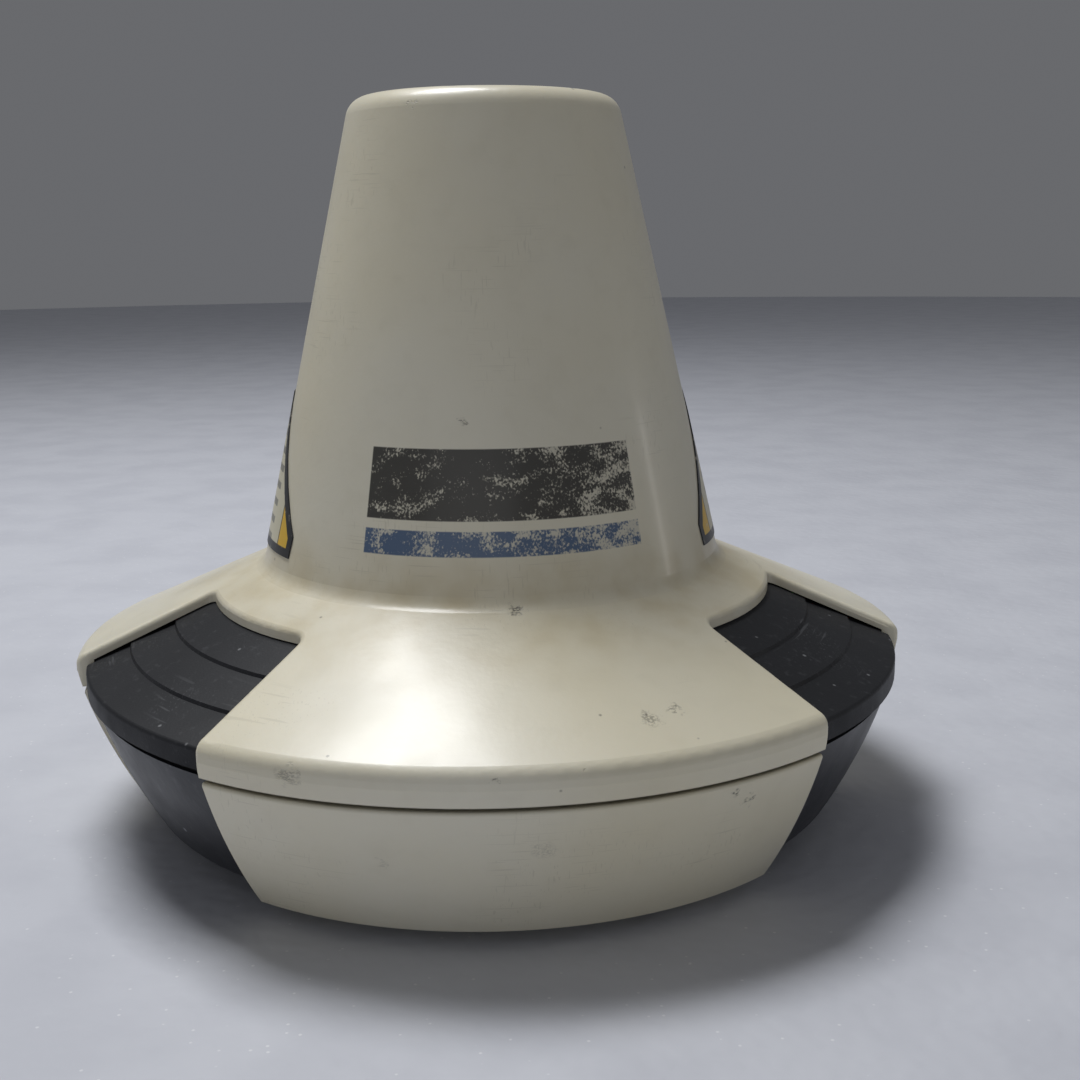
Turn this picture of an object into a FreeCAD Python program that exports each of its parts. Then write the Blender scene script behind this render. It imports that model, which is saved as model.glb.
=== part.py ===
import FreeCAD, Part
import math
import os
import re

import Sketcher

# A marine satellite dome antenna with its radio built in.  A tall conical radome flares into three
# ivory lobes that lie over a dark stepped deck.  Below the parting line a dark cast bowl carries
# three ivory skirts, and a hub with a threaded bush that screws onto a 1 inch deck pole.  Inside, a
# quadrifilar helix stands on a ground plane above the radio board.
#
# Millimetres, +Z up, origin on the pole axis at the hub's resting face.  The front lobe faces -Y.
# Bodies are drawn with a window, the gap between two lobes, facing +X.  TURN then faces a lobe to
# -Y.  Heights are above the resting face unless a note says otherwise.

TURN = -30.0
LOBES = 3
FRONT_LOBE, RIGHT_LOBE, LEFT_LOBE = -60.0, 60.0, 180.0
RIGHT_WINDOW, REAR_WINDOW, LEFT_WINDOW = 0, 120, 240
RIGHT_SIDE, LEFT_SIDE = 30.0, 210.0

SIZES = [
    # radome
    ("total_height", 145.0, "top of the radome"),
    ("rim_radius", 85.8, "outer radius of the radome's lobes"),
    ("rim_rise", 6.15, "from the lobes' lower edge to where the flare would meet their outer wall"),
    ("cone_top_radius", 26.5, "cone radius at the very top, before rounding"),
    ("cone_foot_radius", 47.5, "cone radius where it meets the flare"),
    ("flare_rise", 16.55, "from there up to where cone and flare meet"),
    ("shell_wall", 2.2, "radome wall"),
    ("rim_wall", 3.5, "wall of the lobes' rim"),
    ("rim_crease", 3.2, "height of the crease round the lobes above their lower edge"),
    ("rim_ledge", 0.15, "width of the ledge at that crease"),
    ("rim_draft", 0.9, "how far the lobes draw in from the crease to their lower edge"),
    ("lobe_half_angle", 39.0, "half the angle that one lobe covers, degrees"),
    ("collar_radius", 57.8, "inner edge of the windows between the lobes"),
    ("crown_round", 4.5, "rounding of the cone's top edge"),
    ("neck_round", 3.5, "hollow rounding between cone and flare"),
    ("rim_round", 2.6, "rounding of the lobes' rim"),
    ("corner_round", 2.4, "rounding of the windows' inner corners, seen from above"),
    ("edge_round", 1.1, "rounding along the windows' upper edges"),
    # posts and screws that hold the radome
    ("post_circle", 56.0, "radius of the circle that the housing screws lie on"),
    ("post_spread", 24.0, "angle from a lobe's middle to each of its screws, degrees"),
    ("post_wall", 1.6, "wall of a radome post round its insert"),
    ("insert_radius", 2.8, "outer radius of a threaded insert"),
    ("insert_length", 8.0, "length of a threaded insert"),
    ("insert_hole", 10.0, "depth of the hole for a threaded insert"),
    ("screw_radius", 2.0, "shank radius of a housing screw"),
    ("screw_head_radius", 3.5, "head radius of a housing screw"),
    ("screw_head", 4.0, "head height of a housing screw"),
    ("screw_reach", 9.4, "how far a housing screw reaches into its post"),
    ("hole_gap", 0.3, "room round a screw in a plain hole"),
    ("thread_gap", 0.15, "room round a screw in its threaded hole"),
    ("press_gap", 0.05, "room round a pressed-in piece"),
    ("seat_gap", 0.1, "room between a post's foot and the boss below it"),
    ("post_hole_gap", 0.6, "room round a post where it passes the deck"),
    # deck
    ("deck_inner_radius", 48.5, "inner edge of the deck"),
    ("deck_inset", 2.0, "how far the deck's edge in the windows lies inside the lobes' rim"),
    ("deck_lobe_gap", 0.4, "room between the deck's edge and the lobes' rim wall"),
    ("deck_end_gap", 0.4, "room between the deck's edge and a lobe's ends, degrees"),
    ("deck_wall", 2.2, "deck wall"),
    ("deck_gap", 0.3, "room between the deck and the radome's underside"),
    ("deck_rim_wall", 6.0, "radial depth of the deck's rim"),
    ("step_one_radius", 65.9, "radius of the inner step"),
    ("step_two_radius", 74.9, "radius of the outer step"),
    ("step_drop", 0.7, "height of each step"),
    ("step_run", 0.25, "radial run of a step's face"),
    ("deck_edge_round", 0.8, "rounding of the deck's outer edge"),
    # bowl
    ("bowl_top", 29.5, "height of the bowl's rim"),
    ("bowl_inset", 3.3, "how far the bowl's rim lies inside the lobes' rim"),
    ("bowl_floor", 5.2, "underside of the bowl's floor"),
    ("bowl_flare", 11.0, "how far the wall spreads from the floor's corner to the rim"),
    ("bowl_curve", 105.0, "radius of the wall's bulge, in section"),
    ("bowl_wall", 3.0, "wall and floor thickness"),
    ("bowl_corner_round", 3.0, "rounding of the bowl's lower corner"),
    ("flange_depth", 7.0, "radial depth of the bowl's rim flange"),
    ("flange_thickness", 3.0, "thickness of the rim flange"),
    ("boss_wall", 3.5, "wall of a housing screw's boss round the screw hole"),
    ("boss_rise", 1.0, "how far the bosses stand above the bowl's rim"),
    ("counterbore_gap", 0.5, "room round a screw head in its counterbore"),
    ("counterbore_depth", 8.8, "depth of a counterbore, from the floor's underside"),
    ("hub_radius", 31.0, "radius of the hub's resting face"),
    ("hub_wall", 4.5, "wall of the hub round the bush"),
    ("hub_web", 2.5, "thickness of the web that closes the hub"),
    ("hub_edge_round", 0.8, "rounding of the hub's foot"),
    # gasket
    ("gasket_inset", 0.9, "how far the gasket lies inside the bowl's rim"),
    ("gasket_width", 4.6, "radial width of the gasket"),
    ("gasket_thickness", 1.6, "thickness of the gasket"),
    # skirts
    ("skirt_wall", 2.0, "skirt wall"),
    ("skirt_gap", 0.2, "room between a skirt and the bowl"),
    ("skirt_rise", 0.1, "how far a skirt stands above the bowl's rim"),
    ("seam", 0.8, "open seam between a skirt and the lobe above it"),
    ("skirt_end_gap", 0.25, "how much less than a lobe's half angle a skirt covers, degrees"),
    ("skirt_lip", 11.0, "radial width of the lip under the bowl"),
    ("skirt_edge_round", 0.6, "rounding of a skirt's upper edge"),
    ("skirt_screw_inset", 6.6, "distance of the skirt screws from the skirt's lower edge"),
    ("skirt_screw_spread", 20.0, "angle from a skirt's middle to each screw, degrees"),
    ("skirt_screw_radius", 1.2, "shank radius of a skirt screw"),
    ("skirt_screw_head", 2.5, "head radius of a skirt screw"),
    ("skirt_screw_length", 4.4, "overall length of a skirt screw"),
    # pole bush and its locking screws
    ("pole_thread_radius", 11.7, "inner radius of the 1 inch 14 thread"),
    ("bush_wall", 4.7, "wall of the threaded bush"),
    ("bush_length", 17.0, "length of the threaded bush"),
    ("lock_screw_radius", 1.95, "radius of a locking screw"),
    ("lock_screw_height", 2.7, "height of the locking screws' axis"),
    ("lock_screw_length", 12.0, "length of a locking screw"),
    ("lock_screw_back", 0.6, "how far a locking screw's tip stays behind the thread"),
    # cable connector
    ("socket_wall", 1.2, "wall of the connector shell"),
    ("socket_bore", 6.8, "inner radius of the connector shell"),
    ("socket_room", 8.5, "height of the room for the connector, between the bush and the web"),
    ("socket_drop", 5.0, "how far the shell hangs below its flange"),
    ("socket_rise", 3.5, "how far the shell stands above the web"),
    ("socket_flange_width", 2.6, "radial width of the connector's flange"),
    ("socket_flange", 2.0, "thickness of the connector's flange"),
    ("socket_seal", 0.9, "thickness of the connector's seal"),
    ("socket_recess", 3.5, "depth of the insulator's face inside the shell"),
    ("socket_nut_width", 3.6, "width of the connector nut's ring, across flats"),
    ("socket_nut", 3.0, "thickness of the connector nut"),
    ("pin_radius", 0.5, "radius of a contact pin"),
    ("pin_circle", 3.8, "radius of the ring of pins"),
    ("pin_reach", 2.2, "how far the pins stand out of the insulator"),
    # breather vent
    ("vent_circle", 40.0, "distance of the vent from the pole axis"),
    ("vent_head_radius", 7.5, "radius of the vent's head"),
    ("vent_head", 2.2, "thickness of the vent's head"),
    ("vent_seal", 0.6, "thickness of the vent's seal"),
    ("vent_thread_radius", 4.9, "radius of the vent's thread"),
    ("vent_thread", 8.0, "length of the vent's thread above its head"),
    ("vent_bore", 1.8, "radius of the vent's air channel"),
    ("vent_nut_size", 7.0, "half the width across flats of the vent's nut"),
    ("vent_nut", 3.0, "thickness of the vent's nut"),
    # earth terminal and rating plate
    ("earth_circle", 44.0, "distance of the earth screw from the pole axis"),
    ("earth_radius", 2.0, "shank radius of the earth screw"),
    ("earth_head_radius", 3.9, "head radius of the earth screw"),
    ("earth_head", 2.2, "head height of the earth screw"),
    ("earth_length", 6.0, "shank length of the earth screw"),
    ("earth_washer_radius", 5.0, "radius of the earth washer"),
    ("earth_washer", 0.6, "thickness of the earth washer"),
    ("earth_boss_wall", 3.0, "wall of the earth screw's boss"),
    ("earth_boss", 6.0, "height of that boss above the floor"),
    ("plate_inner_radius", 38.0, "inner edge of the rating plate"),
    ("plate_outer_radius", 58.0, "outer edge of the rating plate"),
    ("plate_angle", 44.0, "angle that the rating plate covers, degrees"),
    ("plate_thickness", 0.3, "thickness of the rating plate"),
    # radio board
    ("board_radius", 50.0, "radius of the main board"),
    ("board_rise", 3.5, "height of the main board above the bowl's rim"),
    ("board_thickness", 1.6, "thickness of the main board"),
    ("column_circle", 41.0, "radius of the circle that the standoffs lie on"),
    ("column_radius", 3.4, "radius over the corners of a hexagonal standoff"),
    ("column_bore", 8.0, "depth of a standoff's threaded bore"),
    ("column_stud_radius", 1.4, "radius of a standoff's stud"),
    ("column_stud", 5.0, "length of an upper standoff's stud below the board"),
    ("column_foot_stud", 1.8, "length of a lower standoff's stud in the floor"),
    ("can_wall", 0.4, "sheet thickness of the shield cans"),
    ("rf_can_width", 44.0, "width of the radio's shield can"),
    ("rf_can_depth", 22.0, "depth of the radio's shield can"),
    ("rf_can_height", 5.5, "height of the radio's shield can"),
    ("logic_can_width", 36.0, "width of the processor's shield can"),
    ("logic_can_depth", 20.0, "depth of the processor's shield can"),
    ("logic_can_height", 4.0, "height of the processor's shield can"),
    ("can_offset", 8.0, "distance of each can from the board's middle line"),
    ("capacitor_radius", 4.0, "radius of a supply capacitor"),
    ("capacitor_height", 9.0, "height of a supply capacitor"),
    ("capacitor_first", 13.0, "distance of the first capacitor from the middle"),
    ("capacitor_pitch", 9.4, "spacing of the supply capacitors"),
    ("inductor_radius", 5.5, "radius of the supply inductor"),
    ("inductor_height", 6.0, "height of the supply inductor"),
    ("inductor_offset", 20.0, "distance of the inductor from the middle"),
    ("chip_size", 6.0, "side of a small chip"),
    ("chip_height", 1.0, "height of a small chip"),
    ("chip_x", 30.0, "distance of the chips from the board's middle, sideways"),
    ("chip_y", 12.0, "distance of the chips from the board's middle, front to back"),
    # ground plane and helix
    ("plane_radius", 45.5, "radius of the ground plane"),
    ("plane_gap", 4.3, "height between the ground plane's edge and the radome"),
    ("plane_thickness", 1.5, "thickness of the ground plane"),
    ("plane_screw_head", 2.6, "head radius of a ground plane screw"),
    ("plane_screw_height", 1.8, "head height of a ground plane screw"),
    ("plane_screw", 6.0, "shank length of a ground plane screw"),
    ("base_edge", 3.5, "how far the helix base's flange stands out from the former"),
    ("base_flange", 2.5, "flange thickness of the helix base"),
    ("base_spigot", 6.0, "height of the spigot that centres the former"),
    ("base_screw_head", 1.4, "head radius of a base screw"),
    ("base_screw_height", 1.2, "head height of a base screw"),
    ("base_screw_radius", 0.8, "shank radius of a base screw"),
    ("former_radius", 18.5, "outer radius of the helix former"),
    ("former_wall", 1.2, "wall of the helix former"),
    ("former_drop", 9.0, "how far the former's top lies below the radome's top"),
    ("arm_start", 3.0, "height of the helix arms' lower ends above the base flange"),
    ("arm_end", 1.0, "distance of the arms' upper ends from the former's top"),
    ("arm_width", 5.6, "width of a helix arm, measured upright"),
    ("arm_thickness", 0.2, "thickness of a helix arm"),
    ("arm_gap", 0.03, "glue line under a helix arm"),
    ("coax_radius", 1.8, "radius of the feed coax"),
    ("coax_gap", 0.4, "room round the feed coax"),
    ("crown_board", 1.0, "thickness of the feed board on top of the former"),
    ("cap_gap", 0.5, "room between the cap's skirt and the former"),
    ("cap_wall", 1.2, "wall of the helix cap"),
    ("cap_skirt", 6.0, "height of the helix cap's skirt"),
    ("pad_radius", 12.0, "radius of the foam pad on the cap"),
    ("pad_gap", 0.3, "room between the pad and the radome"),
    # stickers
    ("sticker_rise", 4.4, "from the cone's foot up to the side stickers"),
    ("sticker_height", 32.4, "height of a side sticker, before its corners are clipped"),
    ("sticker_half", 25.9, "half its width at the foot, before its corners are clipped"),
    ("sticker_clip", 3.4, "width clipped off its corners"),
    ("sticker_gap", 0.03, "glue line under a sticker"),
    ("sticker_thickness", 0.22, "thickness of a sticker"),
]

doc = FreeCAD.newDocument("DomeAntenna")
sheet = doc.addObject("Spreadsheet::Sheet", "Sizes")
ALIASES = {name for name, value, note in SIZES}
for row, (name, value, note) in enumerate(SIZES, 1):
    sheet.set(f"A{row}", name)
    sheet.set(f"B{row}", str(value))
    sheet.set(f"C{row}", note)
    sheet.setAlias(f"B{row}", name)
doc.recompute()


# ---------------------------------------------------------------- formulas


def bound(text):
    """The formula with each size's name pointing at its cell in the spreadsheet."""
    return re.sub(r"[a-z_]+", lambda m: "Sizes." + m[0] if m[0] in ALIASES else m[0], text)


def size(text):
    """What the formula comes to now."""
    return float(sheet.evalExpression(text))


def bind(thing, prop, text):
    thing.setExpression(prop, bound(text))


SKIRT_TOP = "(bowl_top + skirt_rise)"
RIM_FOOT = f"({SKIRT_TOP} + seam)"
RIM_CREASE = f"({RIM_FOOT} + rim_crease)"
RIM_TOP = f"({RIM_FOOT} + rim_rise)"
CONE_FOOT = f"({RIM_TOP} + flare_rise)"
STICKER_FOOT = f"({CONE_FOOT} + sticker_rise)"
STICKER_TOP = f"({STICKER_FOOT} + sticker_height)"
STICKER_TURN = "2.4 * asin(sticker_half / cone_foot_radius)"


def flare(radius, drop="0"):
    """Height of the flare's upper surface at a radius, less a drop."""
    slope = "flare_rise / (rim_radius - cone_foot_radius)"
    return f"({RIM_TOP} + (rim_radius - ({radius})) * {slope} - ({drop}))"


def cone(height, out="0"):
    """Radius of the cone's outer surface at a height, plus an offset."""
    slope = f"(cone_foot_radius - cone_top_radius) / (total_height - {CONE_FOOT})"
    return f"(cone_foot_radius - (({height}) - {CONE_FOOT}) * {slope} + ({out}))"


def polar(radius, angle):
    """The (x, y) formulas of a point at a radius and an angle in degrees."""
    return f"({radius}) * cos({angle})", f"({radius}) * sin({angle})"


RIM_INNER = "(rim_radius - rim_wall)"
WINDOW_ANGLE = "120 - 2 * lobe_half_angle"

BOWL_RADIUS = "(rim_radius - bowl_inset)"
BOWL_CORNER = f"({BOWL_RADIUS} - bowl_flare)"
BOWL_RISE = "(bowl_top - bowl_floor)"
BOWL_CHORD = f"sqrt(bowl_flare^2 + {BOWL_RISE}^2)"
BOWL_BACK = f"sqrt(bowl_curve^2 - ({BOWL_CHORD} / 2)^2)"
CURVE_RADIUS = f"({BOWL_RADIUS} - bowl_flare / 2 - {BOWL_BACK} * {BOWL_RISE} / {BOWL_CHORD})"
CURVE_HEIGHT = f"((bowl_top + bowl_floor) / 2 + {BOWL_BACK} * bowl_flare / {BOWL_CHORD})"
FLOOR_TOP = "(bowl_floor + bowl_wall)"


def bowl_at(height, out="0"):
    """Radius at a height of the arc that lies a distance outside the bowl's outer face."""
    rise = f"(({height}) - {CURVE_HEIGHT})"
    return f"({CURVE_RADIUS} + sqrt((bowl_curve + ({out}))^2 - {rise}^2))"


SKIRT_INNER = "(bowl_curve + skirt_gap)"
SKIRT_OUTER = "(bowl_curve + skirt_gap + skirt_wall)"
SKIRT_SEAT = "(bowl_floor - skirt_gap)"
SKIRT_FOOT = "(bowl_floor - skirt_gap - skirt_wall)"
SKIRT_CORNER = bowl_at(SKIRT_FOOT, "skirt_gap + skirt_wall")
SKIRT_SCREW_CIRCLE = f"({SKIRT_CORNER} - skirt_screw_inset)"
DECK_FOOT = "(bowl_top + gasket_thickness)"
DECK_RADIUS = "(rim_radius - deck_inset)"

BOSS_TOP = "(bowl_top + boss_rise)"
POST_FOOT = f"({BOSS_TOP} + seat_gap)"
POST_RADIUS = "(insert_radius + post_wall)"
SCREW_SEAT = "(bowl_floor + counterbore_depth)"
SCREW_TOP = f"({POST_FOOT} + screw_reach)"

BUSH_RADIUS = "(pole_thread_radius + bush_wall)"
HUB_TUBE = f"({BUSH_RADIUS} + press_gap + hub_wall)"
WEB_FOOT = "(bush_length + socket_room)"
WEB_TOP = f"({WEB_FOOT} + hub_web)"
SOCKET_RADIUS = "(socket_bore + socket_wall)"
FLANGE_TOP = f"({WEB_FOOT} - socket_seal)"
FLANGE_FOOT = f"({FLANGE_TOP} - socket_flange)"
SOCKET_FOOT = f"({FLANGE_FOOT} - socket_drop)"
SOCKET_TOP = f"({WEB_TOP} + socket_rise)"
INSULATOR_FOOT = f"({SOCKET_FOOT} + socket_recess)"

BOARD_FOOT = "(bowl_top + board_rise)"
BOARD_TOP = f"({BOARD_FOOT} + board_thickness)"
PLANE_TOP = flare("plane_radius", "shell_wall + plane_gap")
PLANE_FOOT = f"({PLANE_TOP} - plane_thickness)"
COLUMN_BORE_RADIUS = "(column_stud_radius + thread_gap)"
BASE_TOP = f"({PLANE_TOP} + base_flange)"
FORMER_TOP = "(total_height - former_drop)"
FORMER_INNER = "(former_radius - former_wall)"
COAX_HOLE = "(coax_radius + coax_gap)"
CROWN_TOP = f"({FORMER_TOP} + crown_board)"
CAP_INNER = "(former_radius + cap_gap)"
CAP_TOP = f"({CROWN_TOP} + cap_wall)"
BASE_SCREW_CIRCLE = "(former_radius + base_edge / 2)"


# ---------------------------------------------------------------- drawing


def origin_part(body, role):
    return next(f for f in body.Origin.OriginFeatures if f.Role == role)


def sketch_on(body, name, role, height="0", turn=0):
    """An empty sketch on an origin plane. The XY plane is raised, and the XZ plane turned about Z."""
    sketch = body.newObject("Sketcher::SketchObject", name)
    sketch.AttachmentSupport = (origin_part(body, role), [""])
    sketch.MapMode = "FlatFace"
    if role == "XY_Plane":
        bind(sketch, "AttachmentOffset.Base.z", height)
    elif turn:
        spin = FreeCAD.Rotation(FreeCAD.Vector(0, 1, 0), turn)
        sketch.AttachmentOffset = FreeCAD.Placement(FreeCAD.Vector(), spin)
    return sketch


def pin_point(sketch, edge, end, x, y):
    """Fixes a point of an edge at two formulas, or on an axis where the formula is 0."""
    for kind, axis, text in (("DistanceX", -2, x), ("DistanceY", -1, y)):
        if text == "0":
            sketch.addConstraint(Sketcher.Constraint("PointOnObject", edge, end, axis))
            continue
        at = sketch.addConstraint(Sketcher.Constraint(kind, -1, 1, edge, end, size(text)))
        sketch.setExpression(f"Constraints[{at}]", bound(text))


def bulged(sketch, start, end, radius):
    """An arc from start to end that bulges away from the axis. Returns its edge and end numbers."""
    chord = end - start
    back = FreeCAD.Vector(-chord.y, chord.x, 0).normalize()
    if back.x > 0:
        back = -back
    middle = (start + end) / 2
    centre = middle + back * math.sqrt(size(radius) ** 2 - (chord.Length / 2) ** 2)
    angles = [math.atan2(p.y - centre.y, p.x - centre.x) for p in (start, end)]
    forward = math.sin(angles[1] - angles[0]) > 0
    circle = Part.Circle(centre, FreeCAD.Vector(0, 0, 1), size(radius))
    edge = sketch.addGeometry(Part.ArcOfCircle(circle, *sorted(angles)), False)
    at = sketch.addConstraint(Sketcher.Constraint("Radius", edge, size(radius)))
    sketch.setExpression(f"Constraints[{at}]", bound(radius))
    return (edge, 1, 2) if forward else (edge, 2, 1)


def draw_outline(sketch, corners):
    """A closed outline of (x, y) corners. A third item makes the edge to the next corner an arc
    of that radius, which bulges away from the axis."""
    points = [FreeCAD.Vector(size(c[0]), size(c[1]), 0) for c in corners]
    ends = points[1:] + points[:1]
    edges = []
    for corner, start, end in zip(corners, points, ends):
        if len(corner) == 3:
            edges.append(bulged(sketch, start, end, corner[2]))
        else:
            edges.append((sketch.addGeometry(Part.LineSegment(start, end), False), 1, 2))
    for corner, (edge, first, last), following in zip(corners, edges, edges[1:] + edges[:1]):
        joint = Sketcher.Constraint("Coincident", edge, last, following[0], following[1])
        sketch.addConstraint(joint)
        pin_point(sketch, edge, first, corner[0], corner[1])


def draw_circle(sketch, x, y, radius):
    centre = FreeCAD.Vector(size(x), size(y), 0)
    circle = Part.Circle(centre, FreeCAD.Vector(0, 0, 1), size(radius))
    edge = sketch.addGeometry(circle, False)
    pin_point(sketch, edge, 3, x, y)
    at = sketch.addConstraint(Sketcher.Constraint("Radius", edge, size(radius)))
    sketch.setExpression(f"Constraints[{at}]", bound(radius))


# ---------------------------------------------------------------- bodies and their features


def new_body(name):
    return doc.addObject("PartDesign::Body", name)


def settled(body, feature, before):
    """Recomputes, and stops if the feature failed or changed nothing."""
    body.Tip = feature
    doc.recompute()
    after = 0.0 if feature.Shape.isNull() else feature.Shape.Volume
    if abs(after - before) < 1e-3:
        raise ValueError(f"{feature.Name} changes nothing")
    return feature


def volume(body):
    return 0.0 if body.Tip is None else body.Tip.Shape.Volume


def turned(body, name, corners, kind="Revolution", angle="360", middle=0):
    """Revolves an outline of (radius, height) corners about Z. A part turn straddles its middle."""
    before = volume(body)
    sketch = sketch_on(body, name + "_outline", "XZ_Plane", turn=middle)
    draw_outline(sketch, corners)
    feature = body.newObject("PartDesign::" + kind, name)
    feature.Profile = sketch
    feature.ReferenceAxis = (sketch, ["V_Axis"])
    bind(feature, "Angle", angle)
    feature.Midplane = angle != "360"
    return settled(body, feature, before)


def drilled(body, name, circles, height, depth, kind="Pocket", plane="XY_Plane"):
    """Pockets or pads (x, y, radius) circles upwards from a height, or along +X from the YZ plane."""
    before = volume(body)
    sketch = sketch_on(body, name + "_circles", plane, height)
    for circle in circles:
        draw_circle(sketch, *circle)
    feature = body.newObject("PartDesign::" + kind, name)
    feature.Profile = sketch
    bind(feature, "Length", depth)
    feature.Reversed = kind == "Pocket"
    return settled(body, feature, before)


def carved(body, name, corners, depth):
    """Cuts an outline of (y, z) corners along +X from the YZ plane."""
    before = volume(body)
    sketch = sketch_on(body, name + "_outline", "YZ_Plane")
    draw_outline(sketch, corners)
    feature = body.newObject("PartDesign::Pocket", name)
    feature.Profile = sketch
    bind(feature, "Length", depth)
    feature.Reversed = True
    return settled(body, feature, before)


def around(body, feature, count=LOBES):
    """Repeats a feature evenly about Z."""
    before = volume(body)
    pattern = body.newObject("PartDesign::PolarPattern", feature.Name + "_around")
    pattern.Originals = [feature]
    pattern.Axis = (origin_part(body, "Z_Axis"), [""])
    pattern.Angle = 360
    pattern.Occurrences = count
    return settled(body, pattern, before)


def dressed(body, name, kind, amount, chosen):
    """Rounds or chamfers the edges of the body's tip for which chosen(edge, its faces) is true."""
    before = volume(body)
    base = body.Tip
    shape = base.Shape
    names = []
    for i, edge in enumerate(shape.Edges, 1):
        if chosen(edge, shape.ancestorsOfType(edge, Part.Face)):
            names.append(f"Edge{i}")
    if not names:
        raise ValueError(f"{body.Label} has no edge for {name}")
    feature = body.newObject("PartDesign::" + kind, name)
    feature.Base = (base, names)
    bind(feature, "Radius" if kind == "Fillet" else "Size", amount)
    return settled(body, feature, before)


def ring_at(radius, height):
    """Chooses the level circles and arcs about Z at a radius and height."""

    def chosen(edge, faces):
        box = edge.BoundBox
        level = box.ZLength < 1e-4 and abs(box.ZMin - size(height)) < 1e-3
        return level and hasattr(edge.Curve, "Radius") and abs(edge.Curve.Radius - size(radius)) < 1e-3

    return chosen


# ---------------------------------------------------------------- plain solids and groups


def cylinder(name, radius, foot, height, x="0", y="0"):
    solid = doc.addObject("Part::Cylinder", name)
    bind(solid, "Radius", radius)
    bind(solid, "Height", height)
    for prop, text in (("x", x), ("y", y), ("z", foot)):
        bind(solid, "Placement.Base." + prop, text)
    return solid


def hexagon(name, corner_radius, foot, height):
    solid = doc.addObject("Part::Prism", name)
    solid.Polygon = 6
    bind(solid, "Circumradius", corner_radius)
    bind(solid, "Height", height)
    bind(solid, "Placement.Base.z", foot)
    return solid


def block(name, width, depth, height, x, y, foot):
    """A box with its corner of least x and y at x, y and foot."""
    solid = doc.addObject("Part::Box", name)
    for prop, text in (("Length", width), ("Width", depth), ("Height", height)):
        bind(solid, prop, text)
    for prop, text in (("x", x), ("y", y), ("z", foot)):
        bind(solid, "Placement.Base." + prop, text)
    return solid


def fused(name, *solids):
    joined = doc.addObject("Part::MultiFuse", name)
    joined.Shapes = list(solids)
    return joined


def gathered(name, solids):
    group = doc.addObject("Part::Compound", name)
    group.Links = list(solids)
    return group


def cut(name, base, tool):
    result = doc.addObject("Part::Cut", name)
    result.Base = base
    result.Tool = tool
    return result


def copies(name, template, places):
    """Copies of a template as one group. A place is (x, y, turn), the turn about Z in degrees."""
    seated = gathered(name + "_template", [template])
    links = []
    for i, (x, y, turn) in enumerate(places):
        link = doc.addObject("App::Link", f"{name}_{i}")
        link.LinkedObject = seated
        spin = FreeCAD.Rotation(FreeCAD.Vector(0, 0, 1), turn)
        link.Placement = FreeCAD.Placement(FreeCAD.Vector(), spin)
        bind(link, "Placement.Base.x", x)
        bind(link, "Placement.Base.y", y)
        links.append(link)
    return gathered(name, links)


def spaced(radius, first=60, count=LOBES):
    """Places evenly round a circle, from a first angle in degrees."""
    angles = [first + 360 * i // count for i in range(count)]
    return [(*polar(radius, str(a)), a) for a in angles]


def lobe_places(circle, spread):
    """Two places in each lobe, a spread each side of its middle."""
    angles = [f"{60 + 120 * i} {sign} {spread}" for i in range(LOBES) for sign in "-+"]
    return [(*polar(circle, a), 0) for a in angles]


def lobe_pair(circle, spread, radius):
    """The circles of one lobe's two places."""
    return [(*polar(circle, f"60 {sign} {spread}"), radius) for sign in "-+"]


def socket_screw(name, seat, head_radius, head, shank_radius, shank, down=False):
    """A cap screw on Z that bears on a height, with its shank up or down and a hexagon socket."""
    head_foot = seat if down else f"{seat} - {head}"
    shank_foot = f"{seat} - ({shank})" if down else seat
    socket_foot = f"{seat} + {head} * 0.4" if down else f"{seat} - {head}"
    cap = cylinder(name + "_head", head_radius, head_foot, head)
    stem = cylinder(name + "_shank", shank_radius, shank_foot, shank)
    socket = hexagon(name + "_socket", f"{head_radius} * 0.5", socket_foot, f"{head} * 0.6")
    return cut(name + "_single", fused(name + "_solid", cap, stem), socket)


NODES = []


def node(thing, name, turn=TURN):
    """Names a finished piece and faces it to the front."""
    thing.Label = name
    spin = FreeCAD.Rotation(FreeCAD.Vector(0, 0, 1), turn)
    thing.Placement = FreeCAD.Placement(FreeCAD.Vector(), spin)
    NODES.append((thing, name))


# ---------------------------------------------------------------- radome


def is_window_wall(face):
    """Whether a face is one of the upright faces of the windows between the lobes."""
    surface = face.Surface
    if isinstance(surface, Part.Plane):
        return abs(surface.Axis.z) < 1e-6
    radii = [size("collar_radius"), size("corner_round")]
    return isinstance(surface, Part.Cylinder) and min(abs(surface.Radius - r) for r in radii) < 1e-3


def is_level(face):
    return isinstance(face.Surface, Part.Plane) and abs(face.Surface.Axis.z) > 0.99


def window_corner(edge, faces):
    """The upright edges where a window's ends meet the collar."""
    box = edge.BoundBox
    upright = box.XLength < 1e-3 and box.YLength < 1e-3
    return upright and abs(math.hypot(box.Center.x, box.Center.y) - size("collar_radius")) < 1e-2


def window_edge(edge, faces):
    """The edges where the windows' upright faces meet the radome's outer skin."""
    walls = [is_window_wall(f) for f in faces]
    return walls.count(True) == 1 and not any(is_level(f) for f in faces)


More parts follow.
